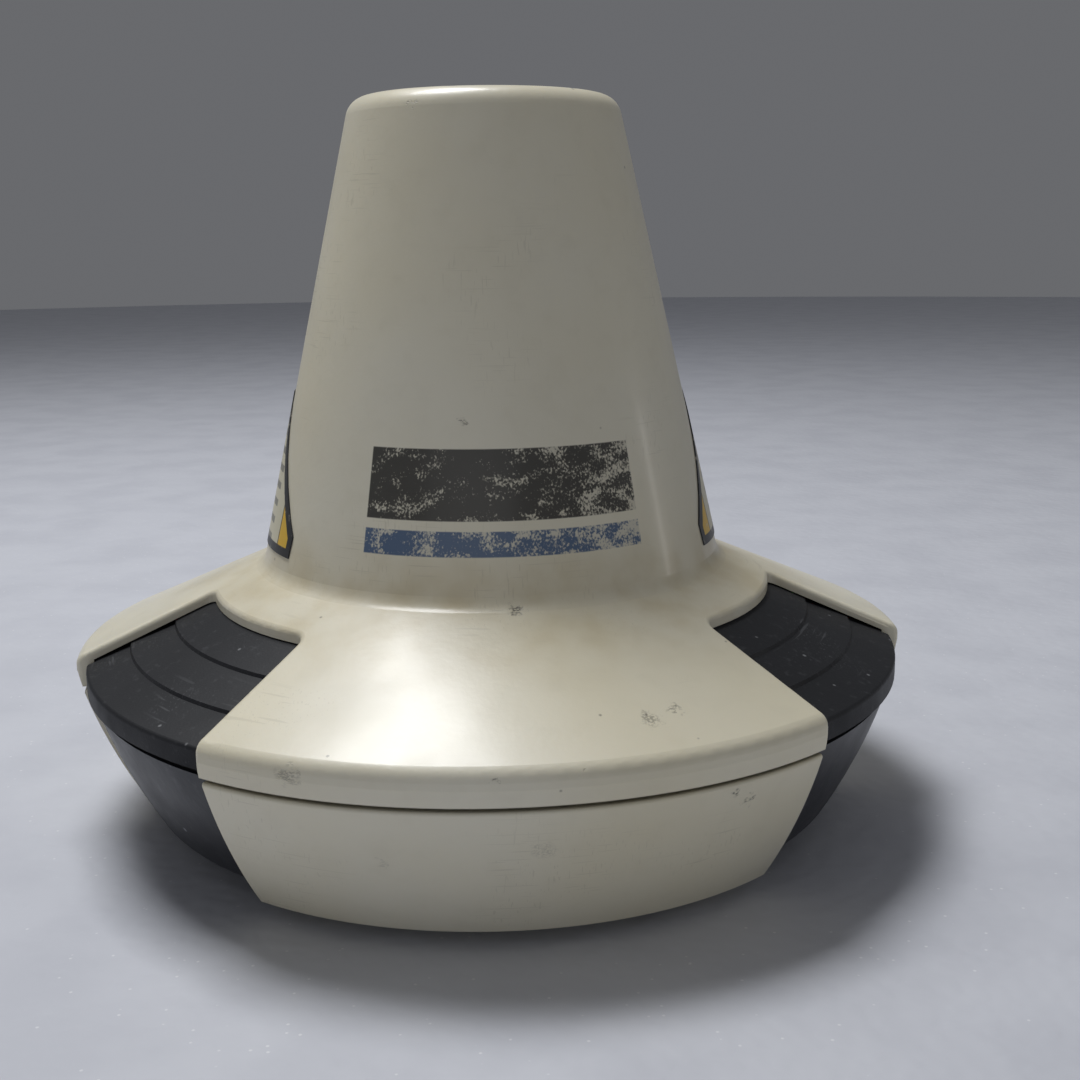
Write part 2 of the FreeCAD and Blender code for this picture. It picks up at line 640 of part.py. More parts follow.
def make_radome():
    """The ivory upper moulding: cone, flare and three lobes, with six screw posts inside."""
    skin = new_body("radome_skin")
    turned(
        skin,
        "radome_solid",
        [
            ("0", RIM_FOOT),
            ("0", "total_height"),
            ("cone_top_radius", "total_height"),
            ("cone_foot_radius", CONE_FOOT),
            ("rim_radius", RIM_TOP),
            ("rim_radius", RIM_FOOT),
        ],
    )
    dressed(skin, "crown_rounding", "Fillet", "crown_round", ring_at("cone_top_radius", "total_height"))
    dressed(skin, "neck_rounding", "Fillet", "neck_round", ring_at("cone_foot_radius", CONE_FOOT))
    dressed(skin, "rim_rounding", "Fillet", "rim_round", ring_at("rim_radius", RIM_TOP))
    window = turned(
        skin,
        "radome_window",
        [
            ("collar_radius", "bowl_floor"),
            ("rim_radius * 1.2", "bowl_floor"),
            ("rim_radius * 1.2", f"{CONE_FOOT} * 1.2"),
            ("collar_radius", f"{CONE_FOOT} * 1.2"),
        ],
        kind="Groove",
        angle=WINDOW_ANGLE,
    )
    around(skin, window)
    dressed(skin, "window_corners", "Fillet", "corner_round", window_corner)
    dressed(skin, "window_edges", "Fillet", "edge_round", window_edge)
    turned(
        skin,
        "rim_slant",
        [
            ("rim_radius - rim_draft", RIM_FOOT),
            ("rim_radius * 1.2", RIM_FOOT),
            ("rim_radius * 1.2", RIM_CREASE),
            ("rim_radius - rim_ledge", RIM_CREASE),
        ],
        kind="Groove",
    )

    cavity = new_body("radome_cavity")
    inner_foot = "(cone_foot_radius - shell_wall)"
    turned(
        cavity,
        "cavity_solid",
        [
            ("0", "bowl_floor"),
            ("0", "total_height - shell_wall"),
            ("cone_top_radius - shell_wall", "total_height - shell_wall"),
            (inner_foot, flare(inner_foot, "shell_wall")),
            (RIM_INNER, flare(RIM_INNER, "shell_wall")),
            (RIM_INNER, "bowl_floor"),
        ],
    )
    posts = lobe_pair("post_circle", "post_spread", POST_RADIUS)
    around(cavity, drilled(cavity, "post_columns", posts, POST_FOOT, "total_height"))
    holes = lobe_pair("post_circle", "post_spread", "insert_radius + press_gap")
    deep = "insert_hole + boss_rise"
    around(cavity, drilled(cavity, "insert_holes", holes, f"{POST_FOOT} - boss_rise", deep, kind="Pad"))
    node(cut("radome_shell", skin, cavity), "radome")


def make_screw_inserts():
    """Brass inserts pressed into the radome's posts."""
    insert = new_body("insert")
    turned(
        insert,
        "insert_solid",
        [
            ("screw_radius + thread_gap", POST_FOOT),
            ("insert_radius", POST_FOOT),
            ("insert_radius", f"{POST_FOOT} + insert_length"),
            ("screw_radius + thread_gap", f"{POST_FOOT} + insert_length"),
        ],
    )
    groove_foot = f"{POST_FOOT} + insert_length * 0.42"
    groove_top = f"{POST_FOOT} + insert_length * 0.58"
    turned(
        insert,
        "insert_groove",
        [
            ("insert_radius - 0.3", groove_foot),
            ("insert_radius * 1.2", groove_foot),
            ("insert_radius * 1.2", groove_top),
            ("insert_radius - 0.3", groove_top),
        ],
        kind="Groove",
    )
    node(copies("inserts", insert, lobe_places("post_circle", "post_spread")), "screw_inserts")


def make_side_stickers():
    """Thin three-cornered plastic labels bonded on the cone's right and left."""
    sticker = new_body("sticker")
    under, over = "sticker_gap", "sticker_gap + sticker_thickness"
    turned(
        sticker,
        "sticker_solid",
        [
            (cone(STICKER_FOOT, under), STICKER_FOOT),
            (cone(STICKER_FOOT, over), STICKER_FOOT),
            (cone(STICKER_TOP, over), STICKER_TOP),
            (cone(STICKER_TOP, under), STICKER_TOP),
        ],
        angle=STICKER_TURN,
    )
    steep = "sticker_clip * sticker_height / sticker_half"
    side, shoulder = "(sticker_half - sticker_clip)", f"({STICKER_FOOT} + {steep})"
    tip, peak = "sticker_clip / 2", f"({STICKER_TOP} - {steep} / 2)"
    carved(
        sticker,
        "sticker_sides",
        [
            (side, "bowl_top"),
            (side, shoulder),
            (tip, peak),
            ("-" + tip, peak),
            ("-" + side, shoulder),
            ("-" + side, "bowl_top"),
            ("-rim_radius", "bowl_top"),
            ("-rim_radius", "total_height"),
            ("rim_radius", "total_height"),
            ("rim_radius", "bowl_top"),
        ],
        "rim_radius",
    )
    places = [("0", "0", RIGHT_SIDE), ("0", "0", LEFT_SIDE)]
    node(copies("stickers", sticker, places), "side_stickers")


# ---------------------------------------------------------------- deck, gasket and bowl


def make_deck_ring():
    """The dark stepped plate that shows in the windows and runs on under the lobes."""
    deck = new_body("deck")
    drop = "shell_wall + deck_gap"
    inner_rim = f"({DECK_RADIUS} - deck_rim_wall)"
    turned(
        deck,
        "deck_solid",
        [
            ("deck_inner_radius", flare("deck_inner_radius", drop)),
            ("step_one_radius", flare("step_one_radius", drop)),
            ("step_one_radius + step_run", flare("step_one_radius", drop + " + step_drop")),
            ("step_two_radius", flare("step_two_radius", drop)),
            ("step_two_radius + step_run", flare("step_two_radius", drop + " + step_drop")),
            (DECK_RADIUS, flare(DECK_RADIUS, drop)),
            (DECK_RADIUS, DECK_FOOT),
            (inner_rim, DECK_FOOT),
            (inner_rim, flare(inner_rim, drop + " + deck_wall + step_drop")),
            ("deck_inner_radius", flare("deck_inner_radius", drop + " + deck_wall")),
        ],
    )
    edge = ring_at(DECK_RADIUS, flare(DECK_RADIUS, drop))
    dressed(deck, "deck_edge", "Fillet", "deck_edge_round", edge)
    trim = turned(
        deck,
        "deck_trim",
        [
            (f"{RIM_INNER} - deck_lobe_gap", "bowl_floor"),
            ("rim_radius * 1.2", "bowl_floor"),
            ("rim_radius * 1.2", CONE_FOOT),
            (f"{RIM_INNER} - deck_lobe_gap", CONE_FOOT),
        ],
        kind="Groove",
        angle="2 * (lobe_half_angle + deck_end_gap)",
        middle=RIGHT_LOBE,
    )
    around(deck, trim)
    holes = lobe_pair("post_circle", "post_spread", f"{POST_RADIUS} + post_hole_gap")
    around(deck, drilled(deck, "post_holes", holes, DECK_FOOT, "total_height"))
    node(deck, "deck_ring")


def make_rim_gasket():
    """The flat rubber ring between the bowl's flange and the deck's rim."""
    outer = f"({BOWL_RADIUS} - gasket_inset)"
    inner = f"({outer} - gasket_width)"
    gasket = new_body("gasket")
    corners = [(inner, "bowl_top"), (outer, "bowl_top"), (outer, DECK_FOOT), (inner, DECK_FOOT)]
    turned(gasket, "gasket_solid", corners)
    node(gasket, "rim_gasket")


def make_lower_housing():
    """The cast bowl with its rim flange, six screw bosses and the hub that takes the pole."""
    bowl = new_body("bowl")
    bush_hole = f"({BUSH_RADIUS} + press_gap)"
    socket_hole = f"({SOCKET_RADIUS} + hole_gap)"
    flange_foot = "bowl_top - flange_thickness"
    flange_inner = f"{BOWL_RADIUS} - flange_depth"
    turned(
        bowl,
        "bowl_solid",
        [
            (bush_hole, "0"),
            ("hub_radius", "0"),
            ("hub_radius", "bowl_floor"),
            (BOWL_CORNER, "bowl_floor", "bowl_curve"),
            (BOWL_RADIUS, "bowl_top"),
            (flange_inner, "bowl_top"),
            (flange_inner, flange_foot),
            (bowl_at(flange_foot, "-bowl_wall"), flange_foot, "bowl_curve - bowl_wall"),
            (bowl_at(FLOOR_TOP, "-bowl_wall"), FLOOR_TOP),
            (HUB_TUBE, FLOOR_TOP),
            (HUB_TUBE, WEB_TOP),
            (socket_hole, WEB_TOP),
            (socket_hole, WEB_FOOT),
            (bush_hole, WEB_FOOT),
        ],
    )
    dressed(bowl, "bowl_corner", "Fillet", "bowl_corner_round", ring_at(BOWL_CORNER, "bowl_floor"))
    dressed(bowl, "hub_edge", "Fillet", "hub_edge_round", ring_at("hub_radius", "0"))

    bosses = lobe_pair("post_circle", "post_spread", "screw_radius + hole_gap + boss_wall")
    rise = f"{BOSS_TOP} - {FLOOR_TOP} + bowl_wall / 2"
    around(bowl, drilled(bowl, "bosses", bosses, f"{FLOOR_TOP} - bowl_wall / 2", rise, kind="Pad"))
    pockets = lobe_pair("post_circle", "post_spread", "screw_head_radius + counterbore_gap")
    around(bowl, drilled(bowl, "counterbores", pockets, "bowl_floor", "counterbore_depth"))
    holes = lobe_pair("post_circle", "post_spread", "screw_radius + hole_gap")
    around(bowl, drilled(bowl, "screw_holes", holes, "bowl_floor", BOSS_TOP))
    pilots = lobe_pair(SKIRT_SCREW_CIRCLE, "skirt_screw_spread", "skirt_screw_radius + thread_gap")
    around(bowl, drilled(bowl, "skirt_screw_holes", pilots, "bowl_floor", "bowl_wall"))

    studs = [(*polar("column_circle", "60"), COLUMN_BORE_RADIUS)]
    stud_foot = f"{FLOOR_TOP} - column_foot_stud - thread_gap"
    around(bowl, drilled(bowl, "column_holes", studs, stud_foot, "bowl_wall"))
    lock = [("0", "lock_screw_height", "lock_screw_radius + thread_gap")]
    around(bowl, drilled(bowl, "lock_screw_holes", lock, "0", "hub_radius * 1.1", plane="YZ_Plane"))

    earth_boss = [("earth_circle", "0", "earth_radius + thread_gap + earth_boss_wall")]
    rise = "earth_boss + bowl_wall / 2"
    drilled(bowl, "earth_boss_pad", earth_boss, f"{FLOOR_TOP} - bowl_wall / 2", rise, kind="Pad")
    earth_hole = [("earth_circle", "0", "earth_radius + thread_gap")]
    drilled(bowl, "earth_hole", earth_hole, "bowl_floor", "earth_length + thread_gap")
    vent = [(*polar("vent_circle", str(REAR_WINDOW)), "vent_thread_radius + hole_gap")]
    drilled(bowl, "vent_hole", vent, "bowl_floor", "bowl_wall")
    node(bowl, "lower_housing")


# ---------------------------------------------------------------- skirts


def make_skirt(name, middle):
    """One ivory cover on the bowl, below a lobe, with a lip that its two screws go through."""
    skirt = new_body(name + "_body")
    lip_inner = f"{SKIRT_CORNER} - skirt_lip"
    turned(
        skirt,
        name + "_solid",
        [
            (SKIRT_CORNER, SKIRT_FOOT, SKIRT_OUTER),
            (bowl_at(SKIRT_TOP, "skirt_gap + skirt_wall"), SKIRT_TOP),
            (bowl_at(SKIRT_TOP, "skirt_gap"), SKIRT_TOP, SKIRT_INNER),
            (bowl_at(SKIRT_SEAT, "skirt_gap"), SKIRT_SEAT),
            (lip_inner, SKIRT_SEAT),
            (lip_inner, SKIRT_FOOT),
        ],
        angle="2 * (lobe_half_angle - skirt_end_gap)",
        middle=middle,
    )

    top_ring = ring_at(bowl_at(SKIRT_TOP, "skirt_gap + skirt_wall"), SKIRT_TOP)
    dressed(skirt, name + "_edge", "Fillet", "skirt_edge_round", top_ring)
    angles = [f"{int(middle)} {sign} skirt_screw_spread" for sign in "-+"]
    hole_radius = "skirt_screw_radius + hole_gap"
    holes = [(*polar(SKIRT_SCREW_CIRCLE, a), hole_radius) for a in angles]
    drilled(skirt, name + "_holes", holes, f"{SKIRT_FOOT} - skirt_gap", "2 * skirt_wall + skirt_gap")
    sink = "skirt_screw_head - skirt_screw_radius - hole_gap + 2 * press_gap"
    dressed(skirt, name + "_sinks", "Chamfer", sink, ring_at(hole_radius, SKIRT_FOOT))
    node(skirt, name)


def make_skirt_screws():
    """Countersunk screws that hold the skirts to the bowl's floor."""
    screw = new_body("skirt_screw")
    slope = "(skirt_screw_head - skirt_screw_radius)"
    top = f"{SKIRT_FOOT} + skirt_screw_length"
    turned(
        screw,
        "skirt_screw_solid",
        [
            ("0", SKIRT_FOOT),
            ("skirt_screw_head", SKIRT_FOOT),
            ("skirt_screw_radius", f"{SKIRT_FOOT} + {slope}"),
            ("skirt_screw_radius", top),
            ("0", top),
        ],
    )
    recess = hexagon("skirt_screw_recess", "skirt_screw_radius * 0.8", SKIRT_FOOT, f"{slope} * 0.7")
    single = cut("skirt_screw_single", screw, recess)
    places = lobe_places(SKIRT_SCREW_CIRCLE, "skirt_screw_spread")
    node(copies("skirt_screw_set", single, places), "skirt_screws")


# ---------------------------------------------------------------- fasteners and pole bush


def make_housing_screws():
    """The cap screws that come up through the bosses into the radome's inserts."""
    single = socket_screw(
        "housing_screw",
        SCREW_SEAT,
        "screw_head_radius",
        "screw_head",
        "screw_radius",
        f"{SCREW_TOP} - {SCREW_SEAT}",
    )
    places = lobe_places("post_circle", "post_spread")
    node(copies("housing_screw_set", single, places), "housing_screws")


def make_pole_bush():
    """The brass bush in the hub that screws onto the pole."""
    bush = new_body("bush")
    turned(
        bush,
        "bush_solid",
        [
            ("pole_thread_radius", "0"),
            (BUSH_RADIUS, "0"),
            (BUSH_RADIUS, "bush_length"),
            ("pole_thread_radius", "bush_length"),
        ],
    )
    lock = [("0", "lock_screw_height", "lock_screw_radius + thread_gap")]
    around(bush, drilled(bush, "bush_lock_holes", lock, "0", "hub_radius", plane="YZ_Plane"))
    node(bush, "pole_bush")


def make_pole_lock_screws():
    """Headless screws that lock the bush on the pole, one below each window."""
    rod = cylinder("lock_rod", "lock_screw_radius", "0", "lock_screw_length")
    socket_foot = "lock_screw_length * 0.75"
    socket = hexagon("lock_socket", "lock_screw_radius * 0.6", socket_foot, "lock_screw_length")
    single = cut("lock_screw", rod, socket)
    single.Placement.Rotation = FreeCAD.Rotation(FreeCAD.Vector(0, 1, 0), 90)
    bind(single, "Placement.Base.x", "pole_thread_radius + lock_screw_back")
    bind(single, "Placement.Base.z", "lock_screw_height")
    places = [("0", "0", angle) for angle in (RIGHT_WINDOW, REAR_WINDOW, LEFT_WINDOW)]
    node(copies("lock_screw_set", single, places), "pole_lock_screws")


# ---------------------------------------------------------------- cable connector


def make_connector():
    """The round bulkhead connector in the hub's web: shell, insulator, pins, seal and nut."""
    shell = new_body("socket_shell")
    flange_radius = f"({SOCKET_RADIUS} + socket_flange_width)"
    turned(
        shell,
        "socket_shell_solid",
        [
            ("socket_bore", SOCKET_FOOT),
            (SOCKET_RADIUS, SOCKET_FOOT),
            (SOCKET_RADIUS, FLANGE_FOOT),
            (flange_radius, FLANGE_FOOT),
            (flange_radius, FLANGE_TOP),
            (SOCKET_RADIUS, FLANGE_TOP),
            (SOCKET_RADIUS, SOCKET_TOP),
            ("socket_bore", SOCKET_TOP),
        ],
    )
    node(shell, "connector_shell")

    insulator = new_body("insulator")
    rise = f"{SOCKET_TOP} - {INSULATOR_FOOT}"
    disc = [("0", "0", "socket_bore - press_gap")]
    drilled(insulator, "insulator_disc", disc, INSULATOR_FOOT, rise, kind="Pad")
    hole = "pin_radius + press_gap"
    drilled(insulator, "middle_pin_hole", [("0", "0", hole)], INSULATOR_FOOT, rise)
    ring = drilled(insulator, "pin_hole", [("pin_circle", "0", hole)], INSULATOR_FOOT, rise)
    around(insulator, ring, 6)
    node(insulator, "connector_insulator")

    pin_foot = f"({INSULATOR_FOOT} - pin_reach)"
    pin = cylinder("contact_pin", "pin_radius", pin_foot, f"{BOARD_FOOT} - {pin_foot}")
    places = [("0", "0", 0)] + spaced("pin_circle", 0, 6)
    node(copies("contact_pin_set", pin, places), "connector_pins")

    seal = new_body("socket_seal_ring")
    seal_inner = f"{SOCKET_RADIUS} + press_gap"
    corners = [
        (seal_inner, FLANGE_TOP),
        (flange_radius, FLANGE_TOP),
        (flange_radius, WEB_FOOT),
        (seal_inner, WEB_FOOT),
    ]
    turned(seal, "socket_seal_solid", corners)
    node(seal, "connector_seal")

    nut_corner = f"({SOCKET_RADIUS} + socket_nut_width) / cos(30)"
    blank = hexagon("socket_nut_blank", nut_corner, WEB_TOP, "socket_nut")
    bore = cylinder("socket_nut_bore", f"{SOCKET_RADIUS} + thread_gap", WEB_FOOT, "total_height")
    node(cut("socket_nut_ring", blank, bore), "connector_nut")


# ---------------------------------------------------------------- vent, earth and rating plate


def make_vent():
    """The breather in the bowl's floor below the rear window: plug, seal and nut."""
    seal_foot = "(bowl_floor - vent_seal)"
    head_foot = f"({seal_foot} - vent_head)"
    top = f"({seal_foot} + vent_thread)"
    plug = new_body("vent_body")
    turned(
        plug,
        "vent_solid",
        [
            ("vent_bore", head_foot),
            ("vent_head_radius", head_foot),
            ("vent_head_radius", seal_foot),
            ("vent_thread_radius", seal_foot),
            ("vent_thread_radius", top),
            ("vent_bore", top),
        ],
    )
    edge = ring_at("vent_head_radius", head_foot)
    dressed(plug, "vent_head_edge", "Fillet", "vent_head * 0.4", edge)
    place = [(*polar("vent_circle", str(REAR_WINDOW)), 0)]
    node(copies("vent_at_place", plug, place), "vent_plug")

    seal = new_body("vent_seal_ring")
    inner = "vent_thread_radius + press_gap"
    outer = "vent_head_radius - 2 * press_gap"
    corners = [(inner, seal_foot), (outer, seal_foot), (outer, "bowl_floor"), (inner, "bowl_floor")]
    turned(seal, "vent_seal_solid", corners)
    node(copies("vent_seal_at_place", seal, place), "vent_seal")

    blank = hexagon("vent_nut_blank", "vent_nut_size / cos(30)", FLOOR_TOP, "vent_nut")
    bore = cylinder("vent_nut_bore", "vent_thread_radius + thread_gap", "bowl_floor", "total_height")
    ring = cut("vent_nut_ring", blank, bore)
    node(copies("vent_nut_at_place", ring, place), "vent_nut")


def make_earth_terminal():
    """The earth screw and its washer under the bowl's floor."""
    seat = "(bowl_floor - earth_washer)"
    screw = socket_screw(
        "earth", seat, "earth_head_radius", "earth_head", "earth_radius", "earth_length"
    )
    place = [("earth_circle", "0", 0)]
    node(copies("earth_at_place", screw, place), "earth_screw")
    washer = new_body("earth_washer_ring")
    inner = "earth_radius + thread_gap"
    outer = "earth_washer_radius"
    corners = [(inner, seat), (outer, seat), (outer, "bowl_floor"), (inner, "bowl_floor")]
    turned(washer, "earth_washer_solid", corners)
    node(copies("earth_washer_at_place", washer, place), "earth_washer")


def make_rating_plate():
    """A blank plate bonded under the bowl's floor, below the left window."""
    plate = new_body("plate")
    foot = "(bowl_floor - plate_thickness)"
    turned(
        plate,
        "plate_solid",
        [
            ("plate_inner_radius", foot),
            ("plate_outer_radius", foot),
            ("plate_outer_radius", "bowl_floor"),
            ("plate_inner_radius", "bowl_floor"),
        ],
        angle="plate_angle",
    )
    node(copies("plate_at_place", plate, [("0", "0", LEFT_WINDOW)]), "rating_plate")


# ---------------------------------------------------------------- radio board


def make_main_board():
    """The round radio board with the three holes that the standoffs' studs pass."""
    board = new_body("board")
    disc = [("0", "0", "board_radius")]
    drilled(board, "board_disc", disc, BOARD_FOOT, "board_thickness", kind="Pad")
    hole = [(*polar("column_circle", "60"), "column_stud_radius + hole_gap")]
    around(board, drilled(board, "board_holes", hole, BOARD_FOOT, "board_thickness"))
    node(board, "main_board")


def column(name, foot, top, stud):
    """A hexagonal standoff on Z with a stud below and a threaded bore in its upper end."""
    post = hexagon(name + "_post", "column_radius", foot, f"{top} - {foot}")
    pin = cylinder(name + "_stud", "column_stud_radius", f"{foot} - ({stud})", f"{stud} + can_wall")
    bore_foot = f"{top} - column_bore"
    bore = cylinder(name + "_bore", COLUMN_BORE_RADIUS, bore_foot, "column_bore * 1.1")
    return cut(name + "_single", fused(name + "_solid", post, pin), bore)


def make_standoffs():
    """Two storeys of brass standoffs that carry the board and the ground plane."""
    lower = column("lower_column", FLOOR_TOP, BOARD_FOOT, "column_foot_stud")
    node(copies("lower_column_set", lower, spaced("column_circle")), "board_standoffs")
    upper = column("upper_column", BOARD_TOP, PLANE_FOOT, "board_thickness + column_stud")
    node(copies("upper_column_set", upper, spaced("column_circle")), "plane_standoffs")


def make_shield_can(name, width, depth, height, foot_y):
    """A sheet metal can, open below, that stands on the board."""
    outside = block(name + "_outside", width, depth, height, f"-({width}) / 2", foot_y, BOARD_TOP)
    inside = block(
        name + "_inside",
        f"{width} - 2 * can_wall",
        f"{depth} - 2 * can_wall",
        height,
        f"can_wall - {width} / 2",
        f"{foot_y} + can_wall",
        f"{BOARD_TOP} - can_wall",
    )
    node(cut(name + "_can", outside, inside), name)


def make_board_parts():
    """The shield cans and the larger parts of the supply, on the board's upper side."""
    far_side = "-(can_offset + logic_can_depth)"
    make_shield_can("rf_shield", "rf_can_width", "rf_can_depth", "rf_can_height", "can_offset")
    sizes = ("logic_can_width", "logic_can_depth", "logic_can_height")
    make_shield_can("digital_shield", *sizes, far_side)

    capacitor = cylinder("capacitor", "capacitor_radius", BOARD_TOP, "capacitor_height")
    row_x = [f"capacitor_first + {i} * capacitor_pitch" for i in range(3)]
    node(copies("capacitor_set", capacitor, [(x, "0", 0) for x in row_x]), "supply_capacitors")

    coil = new_body("coil")
    turned(
        coil,
        "coil_solid",
        [
            ("0", BOARD_TOP),
            ("inductor_radius", BOARD_TOP),
            ("inductor_radius", f"{BOARD_TOP} + inductor_height"),
            ("0", f"{BOARD_TOP} + inductor_height"),
        ],
    )
    edge = ring_at("inductor_radius", f"{BOARD_TOP} + inductor_height")
    dressed(coil, "coil_edge", "Chamfer", "inductor_height * 0.15", edge)
    node(copies("coil_at_place", coil, [("-inductor_offset", "0", 0)]), "supply_inductor")

    chip = block("chip", "chip_size", "chip_size", "chip_height", "0", "0", BOARD_TOP)
    corners = []
    for side in ("-chip_x - chip_size", "chip_x"):
        corners += [(side, "chip_y", 0), (side, "-chip_y - chip_size", 0)]
    node(copies("chip_set", chip, corners), "board_chips")


# ---------------------------------------------------------------- ground plane and helix


def make_ground_plane():
    """The aluminium disc under the helix, and the screws that hold it to its standoffs."""
    plane = new_body("plane")
    disc = [("0", "0", "plane_radius")]
    drilled(plane, "plane_disc", disc, PLANE_FOOT, "plane_thickness", kind="Pad")
    drilled(plane, "plane_feed_hole", [("0", "0", COAX_HOLE)], PLANE_FOOT, "plane_thickness")
    hole = [(*polar("column_circle", "60"), "column_stud_radius + hole_gap")]
    around(plane, drilled(plane, "plane_holes", hole, PLANE_FOOT, "plane_thickness"))
    hole = [(*polar(BASE_SCREW_CIRCLE, "0"), "base_screw_radius + thread_gap")]
    around(plane, drilled(plane, "base_screw_holes", hole, PLANE_FOOT, "plane_thickness"))
    node(plane, "ground_plane")

    screw = socket_screw(
        "plane_screw",
        PLANE_TOP,
        "plane_screw_head",
        "plane_screw_height",
        "column_stud_radius",
        "plane_screw",
        down=True,
    )
    node(copies("plane_screw_set", screw, spaced("column_circle")), "plane_screws")


def make_helix_base():
    """The moulded foot that centres the helix former on the ground plane, and its screws."""
    base = new_body("helix_foot")
    spigot = f"({FORMER_INNER} - press_gap)"
    edge_radius = "(former_radius + base_edge)"
    turned(
        base,
        "helix_foot_solid",
        [
            (COAX_HOLE, PLANE_TOP),
            (edge_radius, PLANE_TOP),
            (edge_radius, BASE_TOP),
            (spigot, BASE_TOP),
            (spigot, f"{BASE_TOP} + base_spigot"),
            (COAX_HOLE, f"{BASE_TOP} + base_spigot"),
        ],
    )
    hole = [(BASE_SCREW_CIRCLE, "0", "base_screw_radius + hole_gap")]
    around(base, drilled(base, "helix_foot_holes", hole, PLANE_TOP, "base_flange"))
    node(base, "helix_base")

    screw = socket_screw(
        "base_screw",
        BASE_TOP,
        "base_screw_head",
        "base_screw_height",
        "base_screw_radius",
        "base_flange + plane_thickness",
        down=True,
    )
    node(copies("base_screw_set", screw, spaced(BASE_SCREW_CIRCLE, 0)), "base_screws")


def make_helix_former():
    """The thin tube that carries the four helix arms."""
    former = new_body("former")
    turned(
        former,
        "former_solid",
        [
            (FORMER_INNER, BASE_TOP),
            ("former_radius", BASE_TOP),
            ("former_radius", FORMER_TOP),
            (FORMER_INNER, FORMER_TOP),
        ],
    )
    node(former, "helix_former")


def make_helix_arms():
    """Four copper strips that wind half a turn round the former, a quarter turn apart."""
    arm = new_body("arm")
    foot = f"({BASE_TOP} + arm_start)"
    climb = f"{FORMER_TOP} - arm_end - arm_width - {foot}"
    inner, outer = "former_radius + arm_gap", "former_radius + arm_gap + arm_thickness"
    sketch = sketch_on(arm, "arm_outline", "XZ_Plane")
    corners = [(inner, foot), (outer, foot), (outer, f"{foot} + arm_width")]
    draw_outline(sketch, corners + [(inner, f"{foot} + arm_width")])
    helix = arm.newObject("PartDesign::AdditiveHelix", "arm_helix")
    helix.Profile = sketch
    helix.ReferenceAxis = (sketch, ["V_Axis"])
    helix.Mode = "pitch-height-angle"
    bind(helix, "Pitch", f"2 * ({climb})")
    bind(helix, "Height", climb)
    settled(arm, helix, 0.0)
    node(copies("arm_set", arm, [("0", "0", 90 * i) for i in range(4)]), "helix_arms")


def make_feed_parts():
    """What closes the helix: feed board, coax, cap and the foam pad under the radome's crown."""
    crown = new_body("crown")
    disc = [("0", "0", "former_radius")]
    drilled(crown, "crown_disc", disc, FORMER_TOP, "crown_board", kind="Pad")
    node(crown, "feed_board")

    node(cylinder("coax_rod", "coax_radius", BOARD_TOP, f"{FORMER_TOP} - {BOARD_TOP}"), "feed_coax")

    cap = new_body("cap")
    outer = f"({CAP_INNER} + cap_wall)"
    turned(
        cap,
        "cap_solid",
        [
            ("0", CROWN_TOP),
            (CAP_INNER, CROWN_TOP),
            (CAP_INNER, f"{CROWN_TOP} - cap_skirt"),
            (outer, f"{CROWN_TOP} - cap_skirt"),
            (outer, CAP_TOP),
            ("0", CAP_TOP),
        ],
    )
    dressed(cap, "cap_edge", "Fillet", "cap_wall * 0.7", ring_at(outer, CAP_TOP))
    node(cap, "helix_cap")

    rise = f"total_height - shell_wall - pad_gap - {CAP_TOP}"
    node(cylinder("pad", "pad_radius", CAP_TOP, rise), "foam_pad")


# ---------------------------------------------------------------- build, check and write


def build_all():
    make_radome()
    make_screw_inserts()
    make_side_stickers()
    make_deck_ring()
    make_rim_gasket()
    make_lower_housing()
    for name, middle in (
        ("skirt_front", FRONT_LOBE),
        ("skirt_right", RIGHT_LOBE),
        ("skirt_left", LEFT_LOBE),
    ):
        make_skirt(name, middle)
    make_skirt_screws()
    make_housing_screws()
    make_pole_bush()
    make_pole_lock_screws()
    make_connector()
    make_vent()
    make_earth_terminal()
    make_rating_plate()
    make_main_board()
    make_standoffs()
    make_board_parts()
    make_ground_plane()
    make_helix_base()
    make_helix_former()
    make_helix_arms()
    make_feed_parts()


def check_all():
    """Stops if any object failed or any piece is not a valid solid."""
    doc.recompute()
    for thing in doc.Objects:
        if {"Invalid", "Error"} & set(thing.State):
            raise RuntimeError(f"{thing.Name} failed: {thing.State}")
    for thing, name in NODES:
        if thing.Shape.isNull() or not thing.Shape.isValid() or not thing.Shape.Solids:
            raise RuntimeError(f"{name} is not a valid solid")


def write_all():
    os.makedirs("parts", exist_ok=True)
    for thing, name in NODES:
        thing.Shape.exportStep(os.path.join("parts", name + ".step"))


build_all()
check_all()
write_all()
print(len(NODES), "nodes written")
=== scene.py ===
import math
import random

import bmesh
import bpy
from bpy.props import FloatProperty, FloatVectorProperty, IntProperty, PointerProperty
from mathutils import Matrix, Vector


